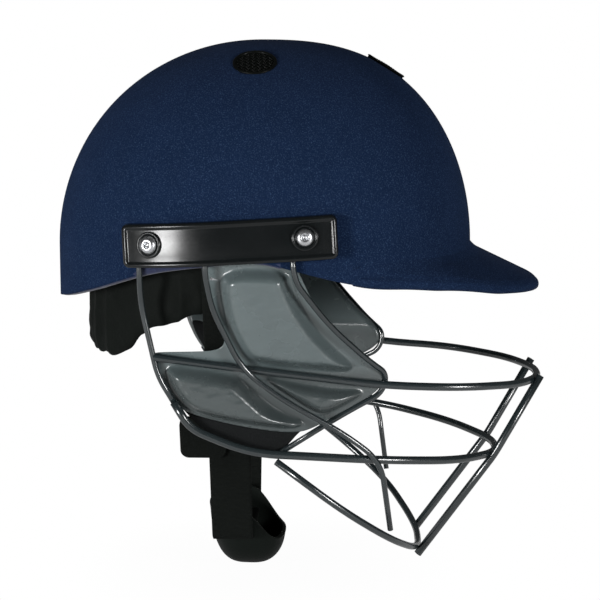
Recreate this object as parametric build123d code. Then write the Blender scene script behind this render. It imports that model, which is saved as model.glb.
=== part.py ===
from build123d import *
import os
from functools import lru_cache
from math import cos, pi, radians, sin, sqrt, tan

# Helmet in millimetres: +X is the wearer's front, +Y the wearer's left, +Z up.
# The origin is where the crown of the head meets the crown pad.

# Dome, measured over the cloth
dome_length = 242.0
dome_width = 208.0
dome_rise = 118.0
dome_setback = 1.2
crown_stack = 20.4
skirt_depth = 60.0
dome_fullness_share = 1.9
dome_steps_count = 6

# Walls from the cloth inwards
cloth_thickness = 1.2
glue_gap = 0.1
shell_wall = 3.5
foam_gap = 0.2
foam_thickness = 10.5
foam_edge_shares = ((-0.55, 0), (-0.34, 0.31), (0.15, 0.31), (0.32, -0.05))
foam_edge_ends = ((-1.3, -0.8), (1.3, -0.38))
foam_edge_radius = 5.6
pad_gap = 0.3
crown_pad_thickness = 4.6
crown_pad_length = 108.0
crown_pad_width = 62.0
crown_pad_x = -4.0
brow_pad_thickness = 8.0
brow_low_share = 0.45
brow_high_share = 0.75
temple_pad_thickness = 7.0
temple_pad_length = 74.0
temple_pad_height = 30.0
temple_pad_x = -11.5
temple_pad_lift = 4.0
overrun = 30.0

# Rim line: places along the dome and drops below its widest level
rim_drop = 34.0
rim_shares = ((-1.12, 1.05), (-0.767, 0.57), (-0.461, 0.20), (-0.221, 0.07), (0.02, 0.02),
              (0.208, 0.19), (0.431, 0.39), (0.84, 0.52), (1.32, 0.60))
binding_height = 3.4
binding_lip = 0.7
binding_front_share = 0.22

# Peak: plan outline, slope, and drops of its arched section beside the middle
peak_reach = 41.0
peak_width = 198.0
peak_center = 30.0
peak_start = 38.0
peak_slope_angle = 25.5
peak_root_drop = 2.4
peak_half = 98.0
peak_arch_drop = 39.3
peak_arch_shares = ((0.35, 0.05), (0.58, 0.19), (0.85, 0.50), (0.94, 0.73), (1.0, 1.0), (1.08, 1.42))
peak_lip = 5.6
peak_wall = 3.6

# Vents
vent_diameter = 24.6
vent_ring = 1.8
vent_stand = 1.4
vent_depth = 4.4
vent_mesh_thickness = 1.2
vent_mesh_sink = 1.2
vent_hole = 3.0
vent_hole_pitch = 4.0
vent_row_count = 5
vent_fit = 0.1
top_vent_x = -4.5
top_vent_y = 46.0
front_vent_x = 69.5
vent_duct_share = 0.68

# Side plates
plate_length = 117.0
plate_height = 23.5
plate_corner = 3.0
plate_tilt_angle = 3.4
plate_x = -15.5
plate_rise = 10.4
plate_wall = 1.8
plate_border = 2.2
plate_recess = 0.5
plate_back_gap = 0.3
screw_end_gap = 18.0

# Screws, cup washers and tee nuts
screw_diameter = 5.0
screw_clearance = 0.3
screw_head_diameter = 9.5
screw_head_top = 6.0
screw_head_height = 2.75
screw_socket = 3.0
screw_socket_depth = 1.6
washer_diameter = 14.5
washer_height = 2.2
washer_seat = 0.6
tee_nut_flange = 15.0
tee_nut_flange_thickness = 1.4
tee_nut_barrel = 6.6
tee_nut_sink = 1.0

# Guard bracket behind each side plate
bracket_gap = 0.2
bracket_thickness = 1.8
bracket_end_gap = 6.5
bracket_edge_gap = 4.25

# Guard wires
ring_wire = 4.6
upper_wire = 4.4
upright_wire = 3.2
chin_wire = 4.0
bar_wire = 4.6
weld_sink = 0.3
wire_seat_gap = 0.03
wire_turn_share = 0.45
bar_turn_share = 0.10
bar_overhang = 2.8

# Guard routes of the wearer's left side: how far forward, outward and below the seat
rear_wire_foot = (-64.5, 90.5, -124.0)
ring_corner = (-56.0, 90.5, -163.0)
ring_route = ((-38.5, 90.4, -192.5), (-6.0, 89.0, -206.5), (68.0, 78.5, -212.5),
              (112.0, 53.0, -218.5), (137.0, 17.0, -222.0))
upper_ring_drop = 152.5
upper_route = ((-8.0, 87.0, -159.5), (68.0, 72.5, -171.0), (112.0, 67.5, -173.0),
               (147.0, 44.0, -175.5), (161.0, 15.0, -176.5))
middle_wire_x = -28.0
middle_foot = (-25.0, 100.0, -124.0)
middle_weld_x = -10.0
middle_route = ((14.0, 89.5, -177.0), (46.0, 85.5, -195.5))
middle_ring_weld_x = 66.0
middle_end = (73.0, 70.0, -255.0)
front_wire_x = 18.5
front_route = ((38.0, 91.5, -134.0), (59.0, 76.0, -155.5))
front_tip_x = 69.5
front_tip_reach = 1.6
front_tip_rise = 5.5
front_return = (45.0, 75.0, -187.5)
front_ring_weld_x = 11.0
chin_weld_x = 9.0
chin_route = ((45.0, 84.5, -239.5), (73.0, 67.0, -261.5), (91.0, 27.0, -279.5))
bar_half_gap = 27.0

# Ear pads: half widths of their outer skin at three stations on four levels
cheek_stations = (-70.0, 0.0, 75.0)
cheek_levels = (-90.0, -128.0, -160.0, -215.0)
cheek_widths = ((90.5, 106.3, 86.0), (90.5, 96.5, 77.0), (89.0, 85.5, 69.5), (88.5, 86.5, 73.5))
pad_skin = 3.0
pad_top = -100.2
pad_edge_gap = 0.3
pad_wire_gap = 0.35
lobe_crown = 5.5
lobe_radius = 75.0
pad_route_steps_count = 7
upper_lobe = ((-22.0, -104.0), (14.0, -104.0), (19.0, -122.0), (48.0, -157.0),
              (20.0, -158.0), (-8.0, -152.0), (-18.0, -132.0))
rear_lobe = ((-52.0, -159.0), (-18.0, -166.0), (-6.0, -178.0), (22.0, -191.0),
             (-8.0, -193.0), (-32.0, -190.0), (-45.0, -176.0))
front_lobe = ((6.0, -167.0), (32.0, -170.5), (54.0, -176.5), (38.0, -185.0), (20.0, -180.5))
pad_rear_top = -148.0

# Nape pad
nape_thickness = 7.0
nape_corner = 4.2
nape_outline = ((-22.0, -112.0), (-22.0, -127.0), (-56.0, -138.0), (-68.0, -141.0),
                (-80.0, -158.0), (-98.0, -160.0), (-125.0, -158.0), (-125.0, -112.0),
                (-70.0, -96.0))

# Chin strap
strap_x = -19.0
strap_width = 24.0
strap_thickness = 1.8
strap_pivot_drop = 102.5
strap_tab_reach = 6.0
strap_knee = (66.0, -188.0)
strap_corner = (40.0, -271.0)
strap_top_radius = 24.0
strap_knee_radius = 96.0
strap_corner_radius = 9.0
hanger_width = 14.0
hanger_top = 90.0
hanger_thickness = 1.4
hanger_gap = 0.6
pivot_diameter = 4.0
pivot_fit = 0.05
pivot_head = 8.0
pivot_head_thickness = 1.0
strap_gap = 0.3
hanger_rivet_diameter = 3.0
hanger_rivet_drop = 93.5
hanger_rivet_depth = 2.4
hanger_rivet_spacing = 7.0

# Stitched end of the strap
tab_length = 26.0
tab_reach = 15.0
tab_height = 26.0
tab_thickness = 2.4
tab_place_share = 0.18
tab_corner = 5.0

# Chin cup
cup_length = 46.0
cup_width = 66.0
cup_depth = 38.0
cup_wall = 2.6
cup_top = -256.0
cup_slot_gap = 0.9
cup_x = -12.5
cup_dip_x = 16.0
cup_dip_rise = 6.0
cup_dip_radius = 28.0


def dome_x(share):
    """Place along the dome for a share of its half length."""
    return share * dome_length / 2 - dome_setback


equator = crown_stack - dome_rise
middle_half = (dome_length - dome_width) / 2
shell_out = cloth_thickness + glue_gap
shell_in = shell_out + shell_wall
foam_out = shell_in + foam_gap
foam_in = foam_out + foam_thickness
pad_out = foam_in + pad_gap
screw_pitch = plate_length - 2 * screw_end_gap
bracket_length = plate_length - 2 * bracket_end_gap
bracket_height = plate_height - 2 * bracket_edge_gap


def dome_curve(inset):
    """Half outline of the dome from its widest level up to the crown, inset from the cloth."""
    radius = dome_width / 2 - inset
    rise = dome_rise - inset
    power = 2 / dome_fullness_share
    turns = [pi / 2 * step / dome_steps_count for step in range(dome_steps_count)]
    points = [(radius * cos(turn) ** power, rise * sin(turn) ** power) for turn in turns]
    return Spline(*points, (0, rise), tangents=((0, 1), (-1, 0)))


def drawn_out(profile):
    """Turned ends and a straight middle, all from one profile on the wearer's left."""
    front = Pos(middle_half, 0, 0) * revolve(profile, axis=Axis.Z, revolution_arc=-180)
    back = Pos(-middle_half, 0, 0) * revolve(profile, axis=Axis.Z, revolution_arc=180)
    left = extrude(profile, amount=middle_half, both=True)
    return Pos(-dome_setback, 0, equator) * (front + left + mirror(left, about=Plane.XZ) + back)


@lru_cache(maxsize=None)
def dome_form(inset):
    """Closed dome on a straight skirt, inset from the cloth surface."""
    radius = dome_width / 2 - inset
    sides = Polyline((0, dome_rise - inset), (0, -skirt_depth), (radius, -skirt_depth), (radius, 0))
    return drawn_out(make_face(Plane.YZ * (dome_curve(inset) + sides)))


@lru_cache(maxsize=None)
def dome_band(outer, inner):
    """Wall of the dome and its skirt between two insets."""
    outside = dome_width / 2 - outer
    inside = dome_width / 2 - inner
    axis = Line((0, dome_rise - outer), (0, dome_rise - inner))
    foot = Polyline((inside, 0), (inside, -skirt_depth), (outside, -skirt_depth), (outside, 0))
    return drawn_out(make_face(Plane.YZ * (dome_curve(outer) + axis + dome_curve(inner) + foot)))


def peak_sheet(top, bottom):
    """Arched sheet of the peak between two depths under the cloth, sloping down to the front."""
    half = [(peak_half * out, -peak_arch_drop * drop) for out, drop in peak_arch_shares]
    points = [(-y, z) for y, z in reversed(half)] + [(0, 0)] + half
    upper = Spline(*[(y, z - top) for y, z in points])
    lower = Spline(*[(y, z - bottom) for y, z in points])
    section = make_face(Plane.YZ * (upper + Line(upper @ 0, lower @ 0) + lower + Line(upper @ 1, lower @ 1)))
    slope = tan(radians(peak_slope_angle))
    start_z = equator - peak_root_drop + slope * (dome_x(1) - peak_start)
    run = dome_x(1) + peak_reach + overrun - peak_start
    section = Pos(peak_start, 0, start_z) * section
    return extrude(section, amount=run * sqrt(1 + slope ** 2), dir=(1, 0, -slope))


def peak_plan(inset, dome_inset):
    """Crescent of the peak seen from above, as a tall prism."""
    reach = dome_x(1) + peak_reach - peak_center - inset
    outside = Pos(peak_center, 0) * Ellipse(reach, peak_width / 2 - inset)
    wide = dome_width - 2 * dome_inset
    dome = Pos(-dome_setback, 0) * SlotOverall(wide + 2 * middle_half, wide)
    ahead = Pos(peak_start + dome_length, 0) * Rectangle(dome_length * 2, dome_length * 2)
    return extrude(Pos(0, 0, equator - dome_rise) * ((outside - dome) & ahead), amount=2 * dome_rise)


def peak_skin(depth, wall, dome_inset):
    """Top and turned down lip of the peak, starting at a depth under the cloth."""
    top = peak_sheet(depth, depth + wall) & peak_plan(depth + wall, dome_inset)
    edge = peak_plan(depth, dome_inset) - peak_plan(depth + wall, dome_inset)
    lip = peak_sheet(depth, peak_lip) & edge
    return top + lip


def side_prism(face):
    """Cut right across the helmet by a face drawn in the side view."""
    return extrude(face, amount=dome_width, both=True)


def below_rim(shift):
    """Everything below the rim line, moved down by the shift."""
    points = [(dome_x(along), equator - drop * rim_drop - shift) for along, drop in rim_shares]
    line = Spline(*points)
    floor = equator - dome_rise
    base = Polyline(points[-1], (points[-1][0], floor), (points[0][0], floor), points[0])
    return side_prism(make_face(Plane.XZ * (line + base)))


def dome_normal(along, y, level, inset):
    """Outward direction of the dome, from places beside a turned end's centre."""
    power = dome_fullness_share
    radius = dome_width / 2 - inset
    rise = dome_rise - inset
    out = sqrt(along ** 2 + y ** 2)
    lean = (out / radius) ** (power - 1) / radius
    lift = (level / rise) ** (power - 1) / rise
    return Vector(lean * along / out, lean * y / out, lift)


def wall_plane(x, z, inset, side):
    """Plane on the side wall at x and z, facing outwards."""
    power = dome_fullness_share
    level = max(z - equator, 0)
    out = (dome_width / 2 - inset) * (1 - (level / (dome_rise - inset)) ** power) ** (1 / power)
    along = max(abs(x + dome_setback) - middle_half, 0)
    along = along if x + dome_setback > 0 else -along
    y = side * sqrt(out ** 2 - along ** 2)
    normal = dome_normal(along, y, level, inset)
    return Plane(origin=(x, y, z), x_dir=Vector(0, 0, 1).cross(normal), z_dir=normal)


def round_bar(plane, diameter, start, end):
    """Cylinder on a plane's normal between two distances."""
    disc = plane.offset(start) * Circle(diameter / 2)
    return extrude(disc, amount=end - start, dir=plane.z_dir)


def screw_places():
    """Centres of the two screws in the side view, rear first."""
    rise = sin(radians(plate_tilt_angle)) * screw_pitch / 2
    run = cos(radians(plate_tilt_angle)) * screw_pitch / 2
    z = equator + plate_rise
    return ((plate_x - run, z - rise), (plate_x + run, z + rise))


def vent_planes():
    """Planes on the dome at the vents, facing outwards: left, right and front."""
    radius = dome_width / 2
    power = dome_fullness_share
    planes = {}
    places = (("left", top_vent_x, top_vent_y), ("right", top_vent_x, -top_vent_y), ("front", front_vent_x, 0))
    for name, x, y in places:
        along = max(abs(x + dome_setback) - middle_half, 0)
        out = sqrt(along ** 2 + y ** 2)
        z = dome_rise * (1 - (out / radius) ** power) ** (1 / power)
        normal = dome_normal(along, y, z, 0)
        planes[name] = Plane(origin=(x, y, equator + z), x_dir=Vector(0, 1, 0).cross(normal), z_dir=normal)
    return planes


def vent_bores(gap, start, end):
    """Cylinders at all vents, for holes."""
    return [round_bar(plane, vent_diameter + 2 * gap, start, end) for plane in vent_planes().values()]


def screw_planes(side):
    """Planes on the cloth at the two screws of one side, rear first."""
    return [wall_plane(x, z, 0, side) for x, z in screw_places()]


def fitting_bores(diameter):
    """Cylinders at all guard screws, through the whole wall."""
    planes = screw_planes(1) + screw_planes(-1)
    return [round_bar(plane, diameter, -overrun / 2, overrun / 2) for plane in planes]


# Shell, cloth, binding and linings

def outer_shell():
    """Moulded shell with its peak, holed for vents, screws and hanger rivets."""
    dome = dome_band(shell_out, shell_in) - below_rim(0)
    shell = dome + peak_skin(shell_out, peak_wall, shell_out + shell_wall / 2)
    shell = shell - vent_bores(vent_fit, -overrun, overrun)
    shell = shell - fitting_bores(tee_nut_barrel + 2 * screw_clearance)
    for side in (1, -1):
        shell = shell - hanger_rivet_bars(side, 0)
    return shell


def cloth_cover():
    """Cloth skin over the dome and the top of the peak."""
    dome = dome_band(0, cloth_thickness) - peak_sheet(cloth_thickness, peak_arch_drop * 2) - below_rim(0)
    cover = dome + peak_skin(0, cloth_thickness, cloth_thickness / 2)
    cover = cover - vent_bores(vent_fit, -overrun, overrun)
    return cover - fitting_bores(tee_nut_barrel + 2 * screw_clearance)


def rim_binding():
    """Channel that wraps the cut edge from ear to ear round the back."""
    lips = below_rim(-binding_height) - below_rim(0)
    foot = below_rim(0) - below_rim(binding_lip * 2)
    band = (dome_band(-binding_lip, 0) & lips) + (dome_band(shell_in, shell_in + binding_lip) & lips)
    band = band + (dome_band(-binding_lip, shell_in + binding_lip) & foot)
    front = dome_x(binding_front_share)
    band = band - Pos(front + dome_length / 2, 0, equator) * Box(dome_length, dome_width * 2, dome_rise)
    for side in (1, -1):
        band = band - hanger_blank(side, hanger_gap)
    return band


def foam_liner():
    """Impact liner with ducts under the vents and pockets for the tee nuts."""
    liner = dome_band(foam_out, foam_in)
    rear, front = foam_edge_ends
    shares = (rear, *foam_edge_shares, front)
    points = [(dome_x(along), equator + rise * rim_drop) for along, rise in shares]
    edge = FilletPolyline(*points, radius=foam_edge_radius)
    floor = equator - dome_rise
    base = Polyline(edge @ 1, (points[-1][0], floor), (points[0][0], floor), edge @ 0)
    liner = liner - side_prism(make_face(Plane.XZ * (edge + base)))
    for plane in vent_planes().values():
        liner = liner - round_bar(plane, vent_diameter * vent_duct_share, -overrun, overrun)
    pocket = shell_in + tee_nut_sink + tee_nut_flange_thickness + screw_clearance
    for plane in screw_planes(1) + screw_planes(-1):
        liner = liner - round_bar(plane, tee_nut_flange + 2 * screw_clearance, -pocket, 0)
    return liner


def lining(outer, thickness, box):
    """Comfort pad: a slice of the dome's inside, kept within a box."""
    return dome_band(outer, outer + thickness) & box


def crown_pad():
    """Oval pad that the crown of the head touches."""
    oval = Pos(crown_pad_x, 0, -dome_rise / 2) * Ellipse(crown_pad_length / 2, crown_pad_width / 2)
    return lining(pad_out, crown_pad_thickness, extrude(oval, amount=dome_rise))


def brow_pad():
    """Pad across the forehead."""
    low = equator - rim_drop * brow_low_share
    high = equator + rim_drop * brow_high_share
    center = Pos(dome_x(1), 0, (low + high) / 2)
    return lining(pad_out, brow_pad_thickness, center * Box(dome_x(1), dome_width, high - low))


def temple_pad(side):
    """Pad above each ear."""
    middle = temple_pad_lift + temple_pad_height / 2 - hanger_top
    center = Pos(temple_pad_x, side * dome_width / 2, middle)
    return lining(pad_out, temple_pad_thickness, center * Box(temple_pad_length, dome_width / 2, temple_pad_height))


def nape_pad():
    """Padded leatherette round the back of the neck, hanging below the rim."""
    face = make_face(Plane.XZ * FilletPolyline(*nape_outline, radius=nape_corner, close=True))
    band = dome_band(foam_in + pad_gap, foam_in + pad_gap + nape_thickness)
    return band & side_prism(face)


# Vents

def vent_grille(name):
    """Ring that plugs a vent hole and carries a perforated disc."""
    plane = vent_planes()[name]
    ring = round_bar(plane, vent_diameter, -vent_depth, vent_stand)
    ring = ring - round_bar(plane, vent_diameter - 2 * vent_ring, -vent_depth - overrun, vent_stand + overrun)
    top = vent_stand - vent_mesh_sink
    mesh = round_bar(plane, vent_diameter - vent_ring, top - vent_mesh_thickness, top)
    holes = HexLocations(vent_hole_pitch / 2, vent_row_count, vent_row_count)
    reach = vent_diameter / 2 - vent_ring - vent_hole / 2
    for place in holes:
        if place.position.length < reach:
            hole = plane.offset(top + overrun) * place * RegularPolygon(vent_hole / 2, 6)
            mesh = mesh - extrude(hole, amount=-2 * overrun, dir=plane.z_dir)
    return ring + mesh


# Guard wires

def smooth_route(points, share):
    """Straight runs joined by tangent arcs as large as the runs allow."""
    places = [Vector(*point) for point in points]
    radii = []
    for before, here, after in zip(places, places[1:], places[2:]):
        turn = (here - before).get_angle(after - here)
        run = min((here - before).length, (after - here).length)
        radii.append(share * run / tan(radians(turn / 2)))
    return FilletPolyline(*places, radius=radii)


def wire(points, diameter, share=wire_turn_share):
    """Round wire along a route."""
    route = smooth_route(points, share)
    return sweep(Plane(origin=route @ 0, z_dir=route % 0) * Circle(diameter / 2), path=route)


def mirrored(points):
    """Points of the left side, then the same on the right side in return."""
    right = [(p[0], -p[1], p[2]) for p in reversed(points)]
    return [tuple(p) for p in points] + right


def joint_point():
    """Where the thin rear wire is butted to the thick lower ring."""
    return tuple((a + b) / 2 for a, b in zip(ring_corner, ring_route[0]))


def lower_points():
    return mirrored([joint_point(), *ring_route])


def wall_top(x, side=1):
    """Point where a wire crosses the bracket, on the wire's centre."""
    stand = bracket_gap + bracket_thickness + wire_seat_gap + upright_wire / 2
    place = wall_plane(x, equator, -stand, side).origin
    return (place.X, place.Y, equator + plate_rise * 0.6)


def rear_points():
    foot = wall_top(rear_wire_foot[0])
    low = (foot[0], foot[1], equator - rim_drop * 0.33)
    return [foot, low, rear_wire_foot, ring_corner, joint_point()]


def upper_points():
    start = Vector(*rear_wire_foot)
    end = Vector(*ring_corner)
    share = (upper_ring_drop + start.Z) / (start.Z - end.Z)
    weld = start + (end - start) * share
    return mirrored([(weld.X, weld.Y, weld.Z), *upper_route])


def point_on(points, x, out=0.0, down=0.0):
    """Place on the left half of a ring's centre line where it passes x, moved out and down."""
    route = smooth_route(points, wire_turn_share)
    low, high = 0.0, 0.5
    for halving in range(24):
        middle = (low + high) / 2
        if (route @ middle).X < x:
            low = middle
        else:
            high = middle
    along = route % low
    outward = Vector(0, 0, 1).cross(along).normalized()
    place = route @ low + outward * out - Vector(0, 0, 1) * down
    return (place.X, place.Y, place.Z)


def middle_points():
    top = wall_top(middle_wire_x)
    low = (top[0], top[1], equator - rim_drop * 0.2)
    over_upper = point_on(upper_points(), middle_weld_x, (upper_wire + upright_wire) / 2)
    over_lower = point_on(lower_points(), middle_ring_weld_x, (ring_wire + upright_wire) / 2)
    return [top, low, middle_foot, over_upper, *middle_route, over_lower, middle_end]


def front_points():
    top = wall_top(front_wire_x)
    tip = point_on(upper_points(), front_tip_x, weld_sink - (upper_wire + upright_wire) / 2)
    tip_high = (tip[0] + front_tip_reach, tip[1], tip[2] + front_tip_rise)
    tip_low = (tip[0] - front_tip_reach, tip[1], tip[2] - front_tip_rise)
    end = point_on(lower_points(), front_ring_weld_x, weld_sink - (ring_wire + upright_wire) / 2)
    low = (top[0] + upright_wire / 2, top[1], equator - rim_drop * 0.3)
    return [top, low, *front_route, tip_high, tip_low, front_return, end]


def chin_points():
    start = point_on(lower_points(), chin_weld_x, 0, (ring_wire + chin_wire) / 2 - weld_sink)
    return mirrored([start, *chin_route])


def ring_front(points, half_gap):
    """Foremost place of a ring at a half gap from the middle, with its outward direction."""
    route = smooth_route(points, wire_turn_share)
    low, high = 0.3, 0.5
    for halving in range(24):
        middle = (low + high) / 2
        if (route @ middle).Y > half_gap:
            low = middle
        else:
            high = middle
    return route @ low


def bar_points(side):
    upper = ring_front(upper_points(), bar_half_gap)
    lower = ring_front(lower_points(), bar_half_gap)
    chin = ring_front(chin_points(), bar_half_gap)
    ahead = (upper_wire + bar_wire) / 2 - weld_sink
    below = (chin_wire + bar_wire) / 2 - weld_sink
    high = upper + Vector(ahead, 0, 0)
    mid = lower + Vector((ring_wire + bar_wire) / 2, 0, 0)
    slope = (Vector(chin.X, chin.Y, chin.Z) - mid).normalized()
    across = Vector(-slope.Z, 0, slope.X)
    foot = chin + across * below
    top = high + (high - mid).normalized() * bar_overhang
    bottom = foot + (foot - mid).normalized() * bar_overhang
    return [(p.X, side * bar_half_gap, p.Z) for p in (top, mid, bottom)]


def mirrored_part(part, side):
    """The left side piece, or its mirror image on the right."""
    return part if side > 0 else mirror(part, about=Plane.XZ)


@lru_cache(maxsize=None)
def guard_wires():
    """All wires of the welded guard, each one coped where it meets the one before."""
    lower = wire(lower_points(), ring_wire)
    rear = wire(rear_points(), upright_wire)
    upper = wire(upper_points(), upper_wire) - rear - mirror(rear, about=Plane.XZ)
    chin = wire(chin_points(), chin_wire) - lower
    middle = wire(middle_points(), upright_wire) - upper - lower - chin
    front = wire(front_points(), upright_wire) - upper - lower
    nodes = {"guard_lower_ring": lower, "guard_upper_ring": upper, "guard_chin_wire": chin}
    for side, name in ((1, "left"), (-1, "right")):
        nodes["guard_rear_wire_" + name] = mirrored_part(rear, side)
        nodes["guard_middle_wire_" + name] = mirrored_part(middle, side)
        nodes["guard_front_wire_" + name] = mirrored_part(front, side)
        nodes["guard_bar_" + name] = wire(bar_points(side), bar_wire, bar_turn_share) - upper - lower - chin
    return nodes


def plate_face(length, height, corner):
    """Rounded oblong of the side plate in the side view."""
    z = equator + plate_rise
    shape = RectangleRounded(length, height, corner)
    return Plane.XZ * Pos(plate_x, z) * Rot(0, 0, plate_tilt_angle) * shape


def half_prism(face, side):
    """Prism on one side of the helmet only."""
    return extrude(face, amount=dome_width, dir=(0, side, 0))


def side_box(side):
    """Box over one side of the helmet."""
    return Pos(0, side * dome_width, 0) * Box(dome_length * 3, dome_width * 2, dome_length * 4)


def guard_bracket(side):
    """Strip that carries the wire ends, bent to the wall and slotted for the screws."""
    strip = dome_band(-bracket_gap - bracket_thickness, -bracket_gap)
    strip = strip & half_prism(plate_face(bracket_length, bracket_height, plate_corner), side)
    for plane in screw_planes(side):
        hole = round_bar(plane, screw_diameter + 2 * screw_clearance, -overrun / 3, overrun)
        strip = strip - hole
    return strip


def plate_stand():
    """How far the side plate's inner face stands off the cloth."""
    return bracket_gap + bracket_thickness + upright_wire + plate_back_gap


def side_plate(side):
    """Hollow cover plate with a raised border, two bosses and notches for the wires."""
    stand = plate_stand()
    face = stand + plate_wall
    outline = plate_face(plate_length, plate_height, plate_corner)
    inner = plate_face(plate_length - 2 * plate_wall, plate_height - 2 * plate_wall, plate_corner / 2)
    field = plate_face(plate_length - 2 * plate_border, plate_height - 2 * plate_border, plate_corner / 2)
    block = dome_band(-face, -bracket_gap) & half_prism(outline, side)
    hollow = dome_band(-stand, 0) & half_prism(inner, side)
    base = bracket_gap + bracket_thickness + plate_back_gap / 3
    for plane in screw_planes(side):
        hollow = hollow - round_bar(plane, washer_diameter, base, face)
    plate = block - hollow
    plate = plate - (dome_band(-face - plate_wall, plate_recess - face) & half_prism(field, side))
    room = binding_lip + plate_back_gap
    plate = plate - (dome_form(-room) & below_rim(-binding_height - plate_back_gap))
    for points in (rear_points(), middle_points(), front_points()):
        relief = mirrored_part(wire(points[:3], upright_wire + 2 * plate_back_gap), side)
        plate = plate - relief
    for plane in screw_planes(side):
        plate = plate - round_bar(plane, screw_diameter + 2 * screw_clearance, -overrun / 3, overrun)
        plate = plate - round_bar(plane, washer_diameter + 2 * screw_clearance, face - plate_recess - washer_seat, overrun)
    return plate


def screw_seat():
    """Distance from the cloth to the underside of the cup washers."""
    return plate_stand() + plate_wall - plate_recess - washer_seat


def cup_washers():
    """Four dished washers under the screw heads."""
    parts = []
    for plane in screw_planes(1) + screw_planes(-1):
        low = plane.offset(screw_seat()) * Circle(washer_diameter / 2)
        high = plane.offset(screw_seat() + washer_height) * Circle(screw_head_diameter / 2 + washer_height / 4)
        cup = loft([low, high], ruled=True)
        parts.append(cup - round_bar(plane, screw_diameter + screw_clearance, 0, overrun))
    return Compound(parts)


def guard_screws():
    """Four button head screws with hexagon sockets."""
    parts = []
    base = screw_seat() + washer_height
    for plane in screw_planes(1) + screw_planes(-1):
        shank = round_bar(plane, screw_diameter, -shell_in, base)
        low = plane.offset(base) * Circle(screw_head_diameter / 2)
        high = plane.offset(base + screw_head_height) * Circle(screw_head_top / 2)
        head = loft([low, high], ruled=True)
        socket = plane.offset(base + screw_head_height) * RegularPolygon(screw_socket / 2, 6, major_radius=False)
        parts.append(shank + head - extrude(socket, amount=-screw_socket_depth, dir=plane.z_dir))
    return Compound(parts)


def tee_nuts():
    """Four flanged nuts behind the shell."""
    parts = []
    seat = shell_in + tee_nut_sink
    for plane in screw_planes(1) + screw_planes(-1):
        flange = round_bar(plane, tee_nut_flange, -seat - tee_nut_flange_thickness, -seat)
        barrel = round_bar(plane, tee_nut_barrel, -seat, -cloth_thickness)
        bore = round_bar(plane, screw_diameter, -seat - tee_nut_flange_thickness, 0)
        parts.append(flange + barrel - bore)
    return Compound(parts)


# Ear pads

def cheek_width(x, z, inset=0.0):
    """Half width of the pad skin by quadratic stations and straight levels."""
    a, b, c = cheek_stations
    rows = []
    for wa, wb, wc in cheek_widths:
        rows.append(wa * (x - b) * (x - c) / ((a - b) * (a - c)) + wb * (x - a) * (x - c) / ((b - a) * (b - c))
                    + wc * (x - a) * (x - b) / ((c - a) * (c - b)))
    for high, low, top, bottom in zip(cheek_levels, cheek_levels[1:], rows, rows[1:]):
        if z >= low:
            break
    share = (high - z) / (high - low)
    return top + (bottom - top) * share - inset


@lru_cache(maxsize=None)
def cheek_form(inset):
    """Solid inside the pad skin on the wearer's left, inset inwards."""
    rear, mid, front = cheek_stations
    sections = []
    for level, widths in zip(cheek_levels, cheek_widths):
        a, b, c = [width - inset for width in widths]
        arc = ThreePointArc((rear, a), (mid, b), (front, c))
        base = Polyline((front, c), (front, 0), (rear, 0), (rear, a))
        sections.append(Pos(0, 0, level) * make_face(arc + base))
    return loft(sections)


def route_points(points, start, end, steps, share=wire_turn_share):
    """Side view places along a wire between two shares of its length."""
    route = smooth_route(points, share)
    places = []
    for step in range(steps + 1):
        place = route @ (start + (end - start) * step / steps)
        places.append((place.X, place.Z))
    return places


def share_at_level(points, level):
    """Share of a wire's length where it first drops to a level."""
    route = smooth_route(points, wire_turn_share)
    low, high = 0.0, 0.6
    for halving in range(20):
        middle = (low + high) / 2
        if (route @ middle).Z > level:
            low = middle
        else:
            high = middle
    return low


def pad_face():
    """Side view outline of an ear pad, following the wires that frame it."""
    steps = pad_route_steps_count
    front = front_points()
    middle = middle_points()
    ring = lower_points()
    down = route_points(front, share_at_level(front, pad_top), 1, 2 * steps)
    rear = rear_points()
    back_start = share_at_level(rear, pad_rear_top)
    back = route_points(rear, back_start, 1, steps)
    bottom = [p for p in route_points(ring, 0, 0.5, 6 * steps) if p[0] < down[-1][0]]
    up = route_points(middle, share_at_level(middle, pad_top), share_at_level(middle, pad_rear_top), steps)
    outline = down + bottom[::-1] + back[::-1][1:] + up[::-1]
    return make_face(Plane.XZ * Polyline(*outline, close=True))


def lobe(outline):
    """Crowned lobe: a ball cap on the pad skin, kept within an outline."""
    x = sum(p[0] for p in outline) / len(outline)
    z = sum(p[1] for p in outline) / len(outline)
    step = pad_skin
    across = (cheek_width(x + step, z) - cheek_width(x - step, z)) / (2 * step)
    down = (cheek_width(x, z + step) - cheek_width(x, z - step)) / (2 * step)
    normal = Vector(-across, 1, -down).normalized()
    center = Vector(x, cheek_width(x, z), z) + normal * (lobe_crown - lobe_radius)
    face = make_face(Plane.XZ * FilletPolyline(*outline, radius=pad_skin, close=True))
    prism = extrude(face, amount=dome_width, both=True) & side_box(1)
    return Pos(center) * Sphere(lobe_radius) & prism


def ear_pad():
    """Moulded pad of the wearer's left: a skin with three crowned lobes, grooved for the wires."""
    blank = (cheek_form(0) - cheek_form(pad_skin)) & side_prism(pad_face())
    for outline in (upper_lobe, rear_lobe, front_lobe):
        blank = blank + (lobe(outline) - cheek_form(pad_skin / 2))
    for points, diameter in ((lower_points(), ring_wire), (upper_points(), upper_wire), (rear_points(), upright_wire),
                             (middle_points(), upright_wire), (front_points(), upright_wire)):
        blank = blank - wire(points, diameter + 2 * pad_wire_gap)
    edge = binding_lip + pad_edge_gap
    return blank - (dome_form(-edge) - below_rim(binding_lip + edge))


# Chin strap

def hanger_plane(side, inset):
    """Plane on the strap hanger, on the inside of the shell."""
    return wall_plane(strap_x, -strap_pivot_drop, inset, side)


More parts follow.
